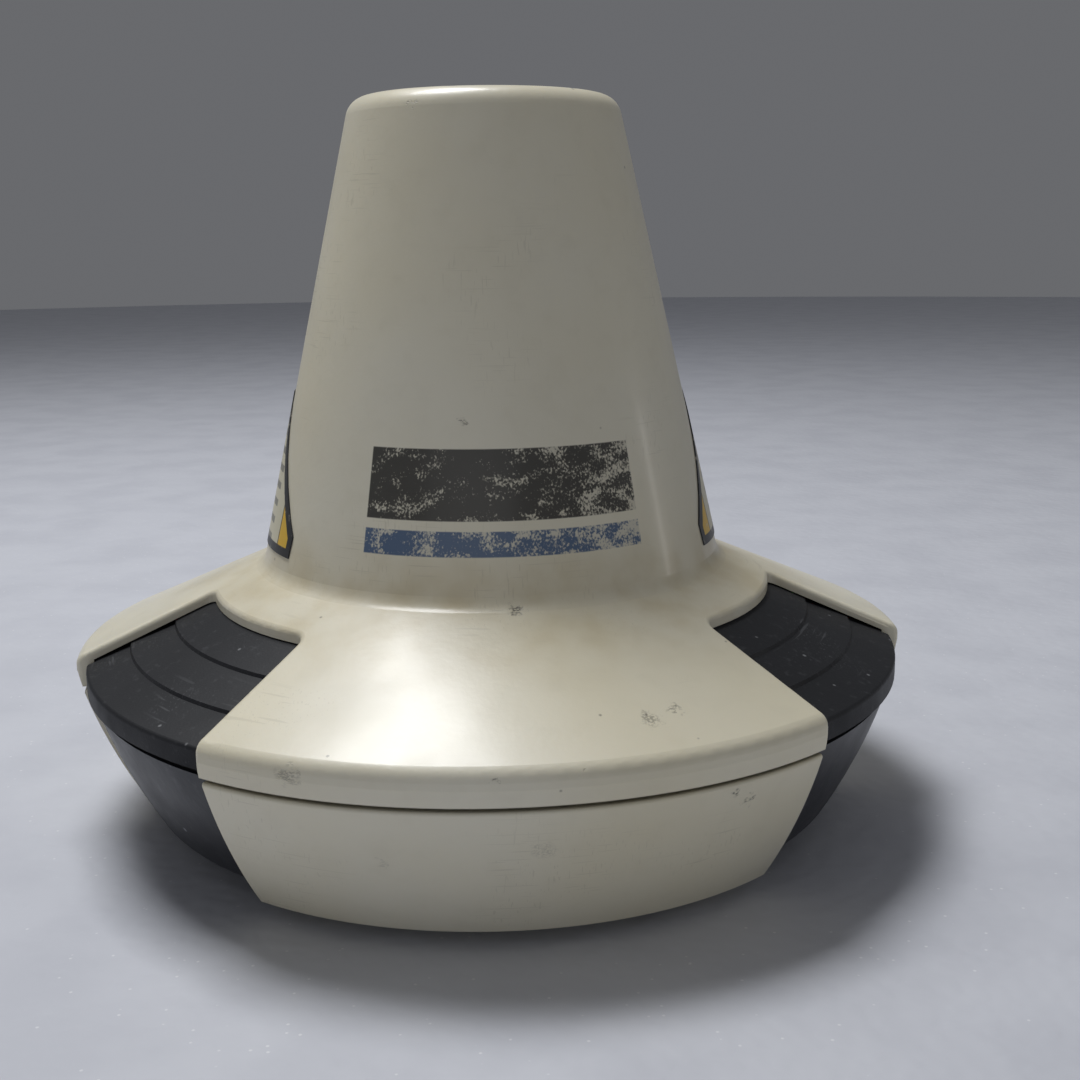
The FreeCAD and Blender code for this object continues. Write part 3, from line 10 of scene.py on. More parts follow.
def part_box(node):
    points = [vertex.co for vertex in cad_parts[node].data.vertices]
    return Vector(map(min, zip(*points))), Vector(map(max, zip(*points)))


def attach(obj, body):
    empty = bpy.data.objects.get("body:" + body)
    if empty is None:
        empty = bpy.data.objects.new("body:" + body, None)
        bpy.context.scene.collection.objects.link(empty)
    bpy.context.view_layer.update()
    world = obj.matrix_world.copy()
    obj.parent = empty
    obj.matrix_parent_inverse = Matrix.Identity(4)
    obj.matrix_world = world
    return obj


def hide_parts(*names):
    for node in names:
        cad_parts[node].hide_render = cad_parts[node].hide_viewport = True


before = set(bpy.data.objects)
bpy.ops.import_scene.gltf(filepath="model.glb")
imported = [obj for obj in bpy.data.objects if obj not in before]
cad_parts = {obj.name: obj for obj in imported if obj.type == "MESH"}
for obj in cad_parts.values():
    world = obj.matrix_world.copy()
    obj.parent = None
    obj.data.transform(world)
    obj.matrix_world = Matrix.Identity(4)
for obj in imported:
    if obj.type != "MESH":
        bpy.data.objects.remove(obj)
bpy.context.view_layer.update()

# The looks of a marine dome antenna: an ivory radome with three lobes over a dark stepped deck, a
# cast bowl with ivory skirts, and the helix, board and fittings that they cover.  Metres, +Z up,
# the front lobe faces -Y.  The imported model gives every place.

MM = 0.001
TURN = 2 * math.pi
MIX_A, MIX_B, MIX_OUT = 6, 7, 2

bl_info = {
    "name": "Marine Dome Antenna",
    "version": (1, 0, 0),
    "blender": (4, 5, 0),
    "location": "View3D > Sidebar > Antenna",
    "description": "Builds the looks of a marine dome antenna round its packed model",
    "category": "Object",
}


# ---------------------------------------------------------------- sizes and colours a user changes


def linear(text):
    """The linear RGB of an sRGB hex colour."""
    channels = [int(text[i : i + 2], 16) / 255 for i in (1, 3, 5)]
    return tuple(c / 12.92 if c <= 0.04045 else ((c + 0.055) / 1.055) ** 2.4 for c in channels)


def colour_property(name, text, description):
    return FloatVectorProperty(
        name=name, description=description, subtype="COLOR", size=3, min=0, max=1, default=linear(text)
    )


def length_property(name, millimetres, description):
    return FloatProperty(
        name=name, description=description, unit="LENGTH", min=0, default=millimetres * MM
    )


class DomeColours(bpy.types.PropertyGroup):
    ivory: colour_property("Ivory", "#E6E1CE", "Moulded plastic of the radome and skirts")
    aged: colour_property("Aged ivory", "#D8CBA2", "The same plastic where it has yellowed")
    deck: colour_property("Deck", "#1D1E21", "Moulded plastic of the stepped deck")
    paint: colour_property("Bowl paint", "#26272B", "Powder coat of the cast bowl")
    print_dark: colour_property("Dark print", "#1B1A1B", "Upper printed stripe")
    print_blue: colour_property("Blue print", "#3B5A80", "Lower printed stripe")
    label: colour_property("Label", "#E3B417", "Ground colour of the side labels")
    floor: colour_property("Floor", "#CED0D7", "The floor that the antenna stands on")


class DomeSizes(bpy.types.PropertyGroup):
    stripe_foot: length_property("Stripe foot", 68.0, "Height of the upper stripe's lower edge")
    stripe_height: length_property("Stripe height", 12.7, "Height of the upper stripe")
    line_foot: length_property("Line foot", 61.7, "Height of the lower stripe's lower edge")
    line_height: length_property("Line height", 4.5, "Height of the lower stripe")
    pole_pitch: length_property("Pole thread pitch", 25.4 / 14, "Pitch of the pole thread")
    pole_depth: length_property("Pole thread depth", 0.95, "Depth of the pole thread")
    coupling_pitch: length_property("Coupling pitch", 1.0, "Pitch of the connector's thread")
    stripe_angle: FloatProperty(
        name="Stripe angle",
        description="Half the angle that the stripes cover",
        unit="ROTATION",
        default=math.radians(34.5),
    )
    chips_parts: IntProperty(
        name="Board parts", description="How many small parts stand on the board", default=150, min=0
    )


class DomeStage(bpy.types.PropertyGroup):
    lens: FloatProperty(name="Lens", description="Focal length", unit="CAMERA", default=46.67)
    distance: length_property("Distance", 290.4, "From the pole axis to the camera, level")
    height: length_property("Height", 118.2, "Of the camera above the floor")
    top_light: FloatProperty(name="Top light", description="Strength in watts", default=7.6, min=0)
    front_light: FloatProperty(name="Front light", description="Strength in watts", default=0.55, min=0)
    strip_light: FloatProperty(name="Strip light", description="Strength in watts", default=0.05, min=0)
    air: FloatProperty(name="Room light", description="Strength of the room's light", default=0.20, min=0)


# ---------------------------------------------------------------- materials


def add(tree, kind, inputs=None, **settings):
    """A shader node of a kind, with its settings, and its inputs set to values or linked."""
    node = tree.nodes.new("ShaderNode" + kind)
    for name, value in settings.items():
        setattr(node, name, value)
    for key, value in (inputs or {}).items():
        if isinstance(value, bpy.types.NodeSocket):
            tree.links.new(value, node.inputs[key])
        else:
            node.inputs[key].default_value = value
    return node


def rgba(colour):
    return (*(linear(colour) if isinstance(colour, str) else tuple(colour)), 1.0)


def finish(name, paint, **facts):
    """A material. Its paint function gets the tree, the shader and the place on the object."""
    material = bpy.data.materials.new(name)
    material.use_nodes = True
    tree = material.node_tree
    tree.nodes.clear()
    shader = add(tree, "BsdfPrincipled")
    output = add(tree, "OutputMaterial")
    tree.links.new(shader.outputs[0], output.inputs[0])
    place = add(tree, "TexCoord").outputs["Object"]
    paint(tree, shader, place, **facts)
    material.diffuse_color = shader.inputs["Base Color"].default_value
    return material


def clouds(tree, place, millimetres, detail=2.0, stretch=(1, 1, 1), offset=0.0):
    """Soft noise whose patches are about so many millimetres across."""
    shift = (offset * 0.1, offset * 0.07, offset * 0.13)
    moved = add(tree, "Mapping", {"Vector": place, "Location": shift, "Scale": stretch})
    inputs = {"Vector": moved.outputs[0], "Scale": 1 / (millimetres * MM), "Detail": detail}
    return add(tree, "TexNoise", inputs).outputs["Fac"]


def window(tree, value, low, high, least=0.0, most=1.0):
    """The value, smoothly remapped from low..high to least..most."""
    inputs = {0: value, 1: low, 2: high, 3: least, 4: most}
    return add(tree, "MapRange", inputs, interpolation_type="SMOOTHSTEP").outputs[0]


def tint(tree, share, under, over, blend="MIX"):
    """The under colour, turning to the over colour by a share."""
    inputs = {0: share, MIX_A: under, MIX_B: over}
    return add(tree, "Mix", inputs, data_type="RGBA", blend_type=blend).outputs[MIX_OUT]


def product(tree, first, second):
    return add(tree, "Math", {0: first, 1: second}, operation="MULTIPLY").outputs[0]


def larger(tree, first, second):
    return add(tree, "Math", {0: first, 1: second}, operation="MAXIMUM").outputs[0]


def relief(tree, shader, height, millimetres, under=None, strength=1.0):
    """Raises the surface by up to so many millimetres where the height is 1."""
    inputs = {"Height": height, "Distance": millimetres * MM, "Strength": strength}
    if under is not None:
        inputs["Normal"] = under
    bump = add(tree, "Bump", inputs).outputs[0]
    tree.links.new(bump, shader.inputs["Normal"])
    return bump


def around_axis(tree, place):
    """The angle round the pole axis, 0 at the front and growing to the right, and the height."""
    parts = add(tree, "SeparateXYZ", {0: place})
    away = add(tree, "Math", {0: parts.outputs[1], 1: -1.0}, operation="MULTIPLY").outputs[0]
    angle = add(tree, "Math", {0: parts.outputs[0], 1: away}, operation="ARCTAN2").outputs[0]
    return angle, parts.outputs[2]


def band(tree, value, middle, half, soft):
    """1 within half of the middle, falling to 0 over a soft edge."""
    off = add(tree, "Math", {0: value, 1: middle}, operation="SUBTRACT").outputs[0]
    distance = add(tree, "Math", {0: off}, operation="ABSOLUTE").outputs[0]
    return window(tree, distance, half - soft, half + soft, 1.0, 0.0)


SKIN = [(26.5, 145.0), (47.5, 53.1), (84.5, 37.1), (85.8, 35.0), (84.9, 30.4), (84.6, 29.6), (82.3, 18.0), (76.5, 5.0)]

# Where the ivory was knocked: angle from the front, height, size (mm) and how dark the mark is.
KNOCKS = [
    (1.5, 52.6, 3.4, 0.75),
    (-10.0, 85.5, 2.2, 0.55),
    (16.0, 40.3, 4.2, 0.45),
    (20.0, 40.8, 3.0, 0.55),
    (-26.0, 34.2, 4.5, 0.40),
    (-3.5, 35.7, 1.6, 0.70),
    (6.0, 36.4, 1.4, 0.70),
    (24.5, 27.4, 2.2, 0.85),
    (27.0, 25.4, 2.8, 0.65),
    (-16.5, 18.7, 3.6, 0.35),
    (2.0, 21.2, 5.0, 0.22),
    (-32.5, 142.1, 1.8, 0.80),
    (135.0, 61.0, 3.6, 0.55),
    (176.0, 41.0, 4.6, 0.45),
    (-118.0, 38.5, 3.2, 0.55),
    (118.0, 20.0, 3.4, 0.45),
]


def on_skin(angle, height):
    """The point of the ivory skin at an angle from the front, in degrees, and a height in mm."""
    for (r0, z0), (r1, z1) in zip(SKIN, SKIN[1:]):
        if z1 <= height <= z0:
            radius = r0 + (r1 - r0) * (z0 - height) / (z0 - z1)
            turn = math.radians(angle)
            return Vector((radius * math.sin(turn), -radius * math.cos(turn), height)) * MM
    raise ValueError(f"no skin at height {height}")


def knocks(tree, place):
    """Ragged scuffs: each is a blot whose edge and inside are broken by scratchy noise."""
    ragged = add(tree, "TexNoise", {"Vector": place, "Scale": 1 / (1.6 * MM), "Detail": 3.0})
    centred = add(tree, "VectorMath", {0: ragged.outputs["Color"], 1: (0.5, 0.5, 0.5)}, operation="SUBTRACT")
    push = add(tree, "VectorMath", {0: centred.outputs[0], "Scale": 5.0 * MM}, operation="SCALE")
    bent = add(tree, "VectorMath", {0: place, 1: push.outputs[0]}, operation="ADD").outputs[0]
    total = 0.0
    for angle, height, size, dark in KNOCKS:
        centre = tuple(on_skin(angle, height))
        distance = add(tree, "VectorMath", {0: bent, 1: centre}, operation="DISTANCE").outputs["Value"]
        blot = window(tree, distance, size * 0.12 * MM, size * 0.55 * MM, dark, 0.0)
        total = blot if total == 0.0 else larger(tree, total, blot)
    scratches = clouds(tree, place, 0.5, 3.0, (1, 1, 2.5))
    broken = window(tree, scratches, 0.44, 0.56)
    return product(tree, total, broken)


def hairlines(tree, place, low=0.655, high=0.70):
    """Fine rubbed lines in two directions, sparse."""
    across = clouds(tree, place, 0.35, 1.0, (0.03, 0.03, 1.0), 1.0)
    along = clouds(tree, place, 0.35, 1.0, (1.0, 0.4, 0.035), 2.0)
    patchy = window(tree, clouds(tree, place, 22, 1.0, offset=3.0), 0.5, 0.66)
    both = larger(tree, window(tree, across, low, high), window(tree, along, low, high))
    return product(tree, both, patchy)


def specks(tree, place, millimetres, share):
    """Small round specks: cells so many mm apart, a share of which hold one."""
    cells = add(tree, "TexVoronoi", {"Vector": place, "Scale": 1 / (millimetres * MM)})
    picked = add(tree, "SeparateColor", {0: cells.outputs["Color"]}).outputs[0]
    chosen = add(tree, "Math", {0: picked, 1: share}, operation="LESS_THAN").outputs[0]
    dot = window(tree, cells.outputs["Distance"], 0.06, 0.16, 1.0, 0.0)
    return product(tree, dot, chosen)


def stripes(tree, place, colour):
    """Two worn screen-printed stripes on the cone's front: a broad dark one over a thin blue one."""
    sizes = bpy.context.scene.dome_sizes
    inks = bpy.context.scene.dome_colours
    angle, height = around_axis(tree, place)
    rubbed = clouds(tree, place, 4.0, 3.0, (1, 1, 1.6), 5.0)
    flaked = clouds(tree, place, 0.40, 3.0, (1, 1, 0.8), 6.0)
    worn = add(tree, "Math", {0: flaked, 1: rubbed}, operation="ADD").outputs[0]
    gone = window(tree, angle, -0.1, sizes.stripe_angle * 1.1, 0.0, 0.17)
    worn = add(tree, "Math", {0: worn, 1: gone}, operation="ADD").outputs[0]
    soft_angle, soft = 0.12 * MM / 0.043, 0.12 * MM
    across = band(tree, angle, 0.0, sizes.stripe_angle, soft_angle)
    for foot, tall, ink, keep in (
        (sizes.stripe_foot, sizes.stripe_height, inks.print_dark, 1.19),
        (sizes.line_foot, sizes.line_height, inks.print_blue, 1.09),
    ):
        upright = band(tree, height, foot + tall / 2, tall / 2, soft)
        left = window(tree, worn, keep - 0.10, keep + 0.14, 1.0, 0.18)
        share = product(tree, product(tree, across, upright), product(tree, left, 0.93))
        colour = tint(tree, share, colour, rgba(ink))
    return colour


def aged_asa(tree, shader, place, printed=False):
    """Injection-moulded ASA, aged outdoors: a satin skin that has yellowed in soft clouds, with
    painted shade as a darker, browner band in the hollow at the cone's foot, knocks, rubbed hairlines and fine orange
    peel."""
    inks = bpy.context.scene.dome_colours
    angle, height = around_axis(tree, place)
    old = window(tree, clouds(tree, place, 60, 2.0), 0.3, 0.75, 0.0, 0.40)
    colour = tint(tree, old, rgba(inks.ivory), rgba(inks.aged))
    # Painted shade: the hollow at the cone's foot is darkened and browned in an uneven band.
    foot = band(tree, height, 53.5 * MM, 6.5 * MM, 6.0 * MM)
    uneven = window(tree, clouds(tree, place, 9, 3.0, offset=4.0), 0.3, 0.75, 0.25, 1.0)
    colour = tint(tree, product(tree, product(tree, foot, uneven), 0.5), colour, rgba("#BBA878"))
    seam = band(tree, height, 30.0 * MM, 0.42 * MM, 0.2 * MM)
    colour = tint(tree, product(tree, seam, 0.8), colour, rgba("#3B3220"))
    mottle = window(tree, clouds(tree, place, 5.0, 3.0, offset=7.0), 0.45, 0.85, 0.0, 0.10)
    colour = tint(tree, mottle, colour, rgba("#B7AE92"))
    colour = tint(tree, product(tree, hairlines(tree, place), 0.16), colour, rgba("#8E866F"))
    colour = tint(tree, product(tree, specks(tree, place, 2.6, 0.012), 0.6), colour, rgba("#5A5346"))
    if printed:
        colour = stripes(tree, place, colour)
    marks = knocks(tree, place)
    colour = tint(tree, marks, colour, rgba("#3A372F"))
    tree.links.new(colour, shader.inputs["Base Color"])
    satin = window(tree, clouds(tree, place, 14, 3.0, offset=8.0), 0.3, 0.75, 0.34, 0.46)
    tree.links.new(larger(tree, satin, product(tree, marks, 0.8)), shader.inputs["Roughness"])
    shader.inputs["IOR"].default_value = 1.50
    shader.inputs["Coat Weight"].default_value = 0.22
    shader.inputs["Coat Roughness"].default_value = 0.16
    shader.inputs["Subsurface Weight"].default_value = 0.06
    shader.inputs["Subsurface Radius"].default_value = (1.0, 0.8, 0.5)
    shader.inputs["Subsurface Scale"].default_value = 1.2 * MM
    peel = relief(tree, shader, clouds(tree, place, 1.1, 2.0), 0.022)
    ripple = relief(tree, shader, clouds(tree, place, 9.0, 2.0), 0.05, under=peel)
    relief(tree, shader, marks, -0.12, under=ripple)


def moulded_abs(tree, shader, place, colour="#1D1E21", grain=0.5, dust=0.22, rough=(0.50, 0.62)):
    """Black or grey ABS moulded in a spark-eroded mould: an even fine grain that breaks up every
    highlight, with pale dust in it and a few rubbed lines."""
    base = rgba(colour)
    faded = window(tree, clouds(tree, place, 24, 3.0), 0.35, 0.75, 0.0, 0.35)
    lighter = tuple(min(1.0, c * 1.5 + 0.002) for c in base[:3]) + (1.0,)
    shade = tint(tree, faded, base, lighter)
    powder = window(tree, clouds(tree, place, 1.8, 5.0, offset=3.0), 0.58, 0.76, 0.0, 0.08)
    shade = tint(tree, powder, shade, rgba("#8C8D90"))
    if dust:
        lint = specks(tree, place, 3.1, dust)
        shade = tint(tree, product(tree, lint, 0.35), shade, rgba("#B9BABC"))
        shade = tint(tree, product(tree, hairlines(tree, place, 0.64, 0.70), 0.12), shade, rgba("#9A9B9E"))
    tree.links.new(shade, shader.inputs["Base Color"])
    wear = window(tree, clouds(tree, place, 11, 3.0, offset=2.0), 0.3, 0.7, *rough)
    tree.links.new(wear, shader.inputs["Roughness"])
    shader.inputs["Specular IOR Level"].default_value = 0.30
    pebble = relief(tree, shader, clouds(tree, place, grain, 2.0), 0.03)
    relief(tree, shader, clouds(tree, place, 7.0, 2.0), 0.04, under=pebble)


def powder_coat(tree, shader, place):
    """Cast aluminium, powder coated satin: low orange peel that softens reflections without
    hiding them, dust, and small chips that show the pale primer."""
    inks = bpy.context.scene.dome_colours
    shade = rgba(inks.paint)
    worn = window(tree, clouds(tree, place, 18, 3.0), 0.35, 0.75, 0.0, 0.45)
    shade = tint(tree, worn, shade, rgba("#313338"))
    film = window(tree, clouds(tree, place, 2.4, 5.0, offset=4.0), 0.55, 0.78, 0.0, 0.10)
    shade = tint(tree, film, shade, rgba("#8B8C90"))
    chips = specks(tree, place, 4.0, 0.10)
    shade = tint(tree, product(tree, chips, 0.7), shade, rgba("#A9ABAE"))
    tree.links.new(shade, shader.inputs["Base Color"])
    satin = window(tree, clouds(tree, place, 13, 3.0, offset=6.0), 0.3, 0.7, 0.36, 0.48)
    tree.links.new(satin, shader.inputs["Roughness"])
    shader.inputs["Specular IOR Level"].default_value = 0.42
    peel = relief(tree, shader, clouds(tree, place, 1.4, 2.0), 0.03)
    relief(tree, shader, clouds(tree, place, 0.35, 1.0), 0.008, under=peel)


def moulded_rubber(tree, shader, place):
    """Black nitrile rubber, pressed in a mould: matt, with a pale bloom."""
    bloom = window(tree, clouds(tree, place, 2.5, 4.0), 0.45, 0.75, 0.0, 0.30)
    shade = tint(tree, bloom, rgba("#141414"), rgba("#4A4A48"))
    tree.links.new(shade, shader.inputs["Base Color"])
    shader.inputs["Roughness"].default_value = 0.82
    relief(tree, shader, clouds(tree, place, 0.4, 3.0), 0.02)


def worked_metal(tree, shader, place, colour, rough, tool_mm, stain="#6B6258", stained=0.35):
    """Turned or milled metal: fine tool rings round the pole axis, a dull film in soft patches
    and brighter rubbed spots."""
    film = window(tree, clouds(tree, place, 3.5, 4.0), 0.42, 0.75, 0.0, stained)
    shade = tint(tree, film, rgba(colour), rgba(stain))
    tree.links.new(shade, shader.inputs["Base Color"])
    shader.inputs["Metallic"].default_value = 1.0
    spread = window(tree, clouds(tree, place, 1.2, 3.0, offset=2.0), 0.3, 0.7, rough, rough + 0.16)
    tree.links.new(spread, shader.inputs["Roughness"])
    inputs = {"Vector": place, "Scale": 1 / (tool_mm * MM) / 20, "Distortion": 0.4, "Detail": 1.0}
    rings = add(tree, "TexWave", inputs, wave_type="RINGS", rings_direction="Z").outputs["Fac"]
    relief(tree, shader, rings, 0.006)


def sheet_metal(tree, shader, place, colour="#B9B9B2", rough=0.30):
    """Bright rolled sheet: lengthwise rolling lines, faint flow marks, finger dulling."""
    dulled = window(tree, clouds(tree, place, 7, 4.0), 0.4, 0.75, 0.0, 0.4)
    shade = tint(tree, dulled, rgba(colour), rgba("#7E7D76"))
    tree.links.new(shade, shader.inputs["Base Color"])
    shader.inputs["Metallic"].default_value = 1.0
    lines = clouds(tree, place, 0.3, 2.0, (0.05, 1.0, 1.0))
    spread = window(tree, lines, 0.3, 0.7, rough, rough + 0.18)
    tree.links.new(spread, shader.inputs["Roughness"])
    relief(tree, shader, lines, 0.008)


def solder_mask(tree, shader, place):
    """Green solder mask over etched copper: tracks stand up a little and show lighter, vias are
    small tinned rings, the glass weave shows between them."""
    flat = add(tree, "Mapping", {"Vector": place, "Scale": (1, 1, 0)}).outputs[0]
    grid = add(tree, "TexVoronoi", {"Vector": flat, "Scale": 1 / (3.4 * MM)}, distance="CHEBYCHEV")
    grid.feature = "DISTANCE_TO_EDGE"
    tracks = window(tree, grid.outputs["Distance"], 0.06, 0.10, 1.0, 0.0)
    pour = window(tree, clouds(tree, flat, 16, 1.0), 0.5, 0.53)
    copper = larger(tree, tracks, pour)
    shade = tint(tree, copper, rgba("#0E3B22"), rgba("#1D6238"))
    weave = clouds(tree, flat, 0.45, 1.0)
    shade = tint(tree, window(tree, weave, 0.4, 0.7, 0.0, 0.25), shade, rgba("#0A2D1A"))
    vias = specks(tree, flat, 2.3, 0.34)
    shade = tint(tree, vias, shade, rgba("#B8B7AC"))
    tree.links.new(shade, shader.inputs["Base Color"])
    tree.links.new(product(tree, vias, 0.9), shader.inputs["Metallic"])
    shader.inputs["Roughness"].default_value = 0.28
    shader.inputs["Coat Weight"].default_value = 0.5
    shader.inputs["Coat Roughness"].default_value = 0.18
    relief(tree, shader, copper, 0.04)


def filled_epoxy(tree, shader, place, colour="#161719"):
    """Transfer-moulded filled epoxy or sintered ferrite: matt, with a sandy grain."""
    sand = window(tree, clouds(tree, place, 0.25, 3.0), 0.4, 0.7, 0.0, 0.5)
    tree.links.new(tint(tree, sand, rgba(colour), rgba("#3C3D40")), shader.inputs["Base Color"])
    shader.inputs["Roughness"].default_value = 0.62
    relief(tree, shader, clouds(tree, place, 0.25, 2.0), 0.015)


def drawn_copper(tree, shader, place):
    """Rolled copper tape: warm and bright along its grain, browned by handling."""
    brown = window(tree, clouds(tree, place, 5, 4.0), 0.4, 0.72, 0.0, 0.75)
    shade = tint(tree, brown, rgba("#D08A62"), rgba("#7E4A30"))
    tree.links.new(shade, shader.inputs["Base Color"])
    shader.inputs["Metallic"].default_value = 1.0
    lines = clouds(tree, place, 0.4, 2.0, (1, 1, 0.08))
    tree.links.new(window(tree, lines, 0.3, 0.7, 0.24, 0.42), shader.inputs["Roughness"])
    relief(tree, shader, lines, 0.01)


def clear_skinned(tree, shader, place, colour="#D9D9D2", rough=0.45):
    """Natural moulded or extruded plastic: slightly see-through at the edges, with draw lines."""
    cloud = window(tree, clouds(tree, place, 9, 3.0), 0.35, 0.7, 0.0, 0.4)
    darker = tuple(c * 0.82 for c in rgba(colour)[:3]) + (1.0,)
    tree.links.new(tint(tree, cloud, rgba(colour), darker), shader.inputs["Base Color"])
    shader.inputs["Roughness"].default_value = rough
    shader.inputs["Subsurface Weight"].default_value = 0.15
    shader.inputs["Subsurface Scale"].default_value = 1.0 * MM
    relief(tree, shader, clouds(tree, place, 0.6, 2.0, (1, 1, 0.2)), 0.015)


def open_foam(tree, shader, place):
    """Open-cell polyurethane foam: matt, all pores about 0.8 mm across."""
    cells = add(tree, "TexVoronoi", {"Vector": place, "Scale": 1 / (0.8 * MM)})
    pores = window(tree, cells.outputs["Distance"], 0.1, 0.6)
    tree.links.new(tint(tree, pores, rgba("#0F0F10"), rgba("#4A4B4E")), shader.inputs["Base Color"])
    shader.inputs["Roughness"].default_value = 0.95
    relief(tree, shader, pores, 0.25)


def printed_film(tree, shader, place):
    """Screen-printed polyester film: a three-cornered yellow field with a black border and a blank
    pale panel in its middle, satin, sun-bleached and scuffed."""
    inks = bpy.context.scene.dome_colours
    parts = add(tree, "SeparateXYZ", {0: place})
    side = add(tree, "Math", {0: parts.outputs[1]}, operation="ABSOLUTE").outputs[0]
    low, high = (corner.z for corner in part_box("side_stickers"))
    rise = add(tree, "Math", {0: parts.outputs[2], 1: low}, operation="SUBTRACT").outputs[0]
    steep, half, border = 1.251, 25.9 * MM, 1.7 * MM
    reach = add(tree, "Math", {0: rise, 1: 1 / steep, 2: side}, operation="MULTIPLY_ADD").outputs[0]
    soft = 0.08 * MM
    inside = product(
        tree,
        window(tree, reach, half - 1.28 * border - soft, half - 1.28 * border + soft, 1.0, 0.0),
        window(tree, rise, border - soft, border + soft),
    )
    corners = window(tree, side, 22.5 * MM - border - soft, 22.5 * MM - border + soft, 1.0, 0.0)
    inside = product(tree, inside, corners)
    panel = window(tree, side, 16.2 * MM - soft, 16.2 * MM + soft, 1.0, 0.0)
    edge = band(tree, side, 16.2 * MM, 0.2 * MM, soft)
    rows = add(tree, "TexWave", {"Vector": place, "Scale": TURN / (20 * 3.4 * MM)}, bands_direction="Z")
    bars = product(tree, window(tree, rows.outputs["Fac"], 0.62, 0.7), window(tree, side, 0.0105, 0.0107, 1.0, 0.0))
    bleached = window(tree, clouds(tree, place, 12, 3.0), 0.35, 0.7, 0.0, 0.35)
    yellow = tint(tree, bleached, rgba(inks.label), rgba("#E2C458"))
    shade = tint(tree, panel, yellow, rgba("#D5CFB4"))
    shade = tint(tree, product(tree, bars, product(tree, panel, 0.75)), shade, rgba("#57564F"))
    shade = tint(tree, edge, shade, rgba("#3A372C"))
    shade = tint(tree, inside, rgba("#161513"), shade)
    scuffed = window(tree, clouds(tree, place, 1.3, 5.0, offset=3.0), 0.60, 0.72, 0.0, 0.6)
    shade = tint(tree, scuffed, shade, rgba("#CFC8B4"))
    tree.links.new(shade, shader.inputs["Base Color"])
    shader.inputs["Roughness"].default_value = 0.38
    relief(tree, shader, clouds(tree, place, 4.0, 3.0), 0.03)


def printed_foil(tree, shader, place):
    """Anodised aluminium foil label: satin silver with blank black-edged fields and no wording."""
    angle, height = around_axis(tree, place)
    parts = add(tree, "SeparateXYZ", {0: place})
    flat = add(tree, "CombineXYZ", {0: parts.outputs[0], 1: parts.outputs[1]}).outputs[0]
    reach = add(tree, "VectorMath", {0: flat}, operation="LENGTH").outputs["Value"]
    shade = rgba("#B4B5B6")
    for inner, outer in ((40.0, 45.0), (46.5, 50.5), (52.0, 56.0)):
        middle, half = (inner + outer) / 2 * MM, (outer - inner) / 2 * MM
        field = band(tree, reach, middle, half, 0.05 * MM)
        core = band(tree, reach, middle, half - 0.35 * MM, 0.05 * MM)
        shade = tint(tree, field, shade, rgba("#1A1A1B"))
        shade = tint(tree, core, shade, rgba("#B4B5B6"))
    tree.links.new(shade, shader.inputs["Base Color"])
    shader.inputs["Metallic"].default_value = 0.8
    lines = clouds(tree, place, 0.3, 2.0, (0.06, 1, 1))
    tree.links.new(window(tree, lines, 0.3, 0.7, 0.32, 0.48), shader.inputs["Roughness"])
    relief(tree, shader, lines, 0.006)


def soft_board(tree, shader, place):
    """Expanded polystyrene sheet: pale and matt, with a faint pattern of beads 4 mm across."""
    inks = bpy.context.scene.dome_colours
    beads = add(tree, "TexVoronoi", {"Vector": place, "Scale": 1 / (3 * MM)}, feature="SMOOTH_F1")
    crown = window(tree, beads.outputs["Distance"], 0.1, 0.8, 1.0, 0.0)
    patches = window(tree, clouds(tree, place, 30, 3.0), 0.35, 0.7, 0.0, 0.5)
    grey = tint(tree, patches, rgba(inks.floor), rgba("#C0C2CA"))
    glints = specks(tree, place, 2.4, 0.30)
    grey = tint(tree, product(tree, glints, 0.5), grey, rgba("#F4F4F6"))
    tree.links.new(grey, shader.inputs["Base Color"])
    shader.inputs["Roughness"].default_value = 0.6
    uneven = relief(tree, shader, clouds(tree, place, 14, 2.0), 0.25)
    relief(tree, shader, crown, 0.10, under=uneven)


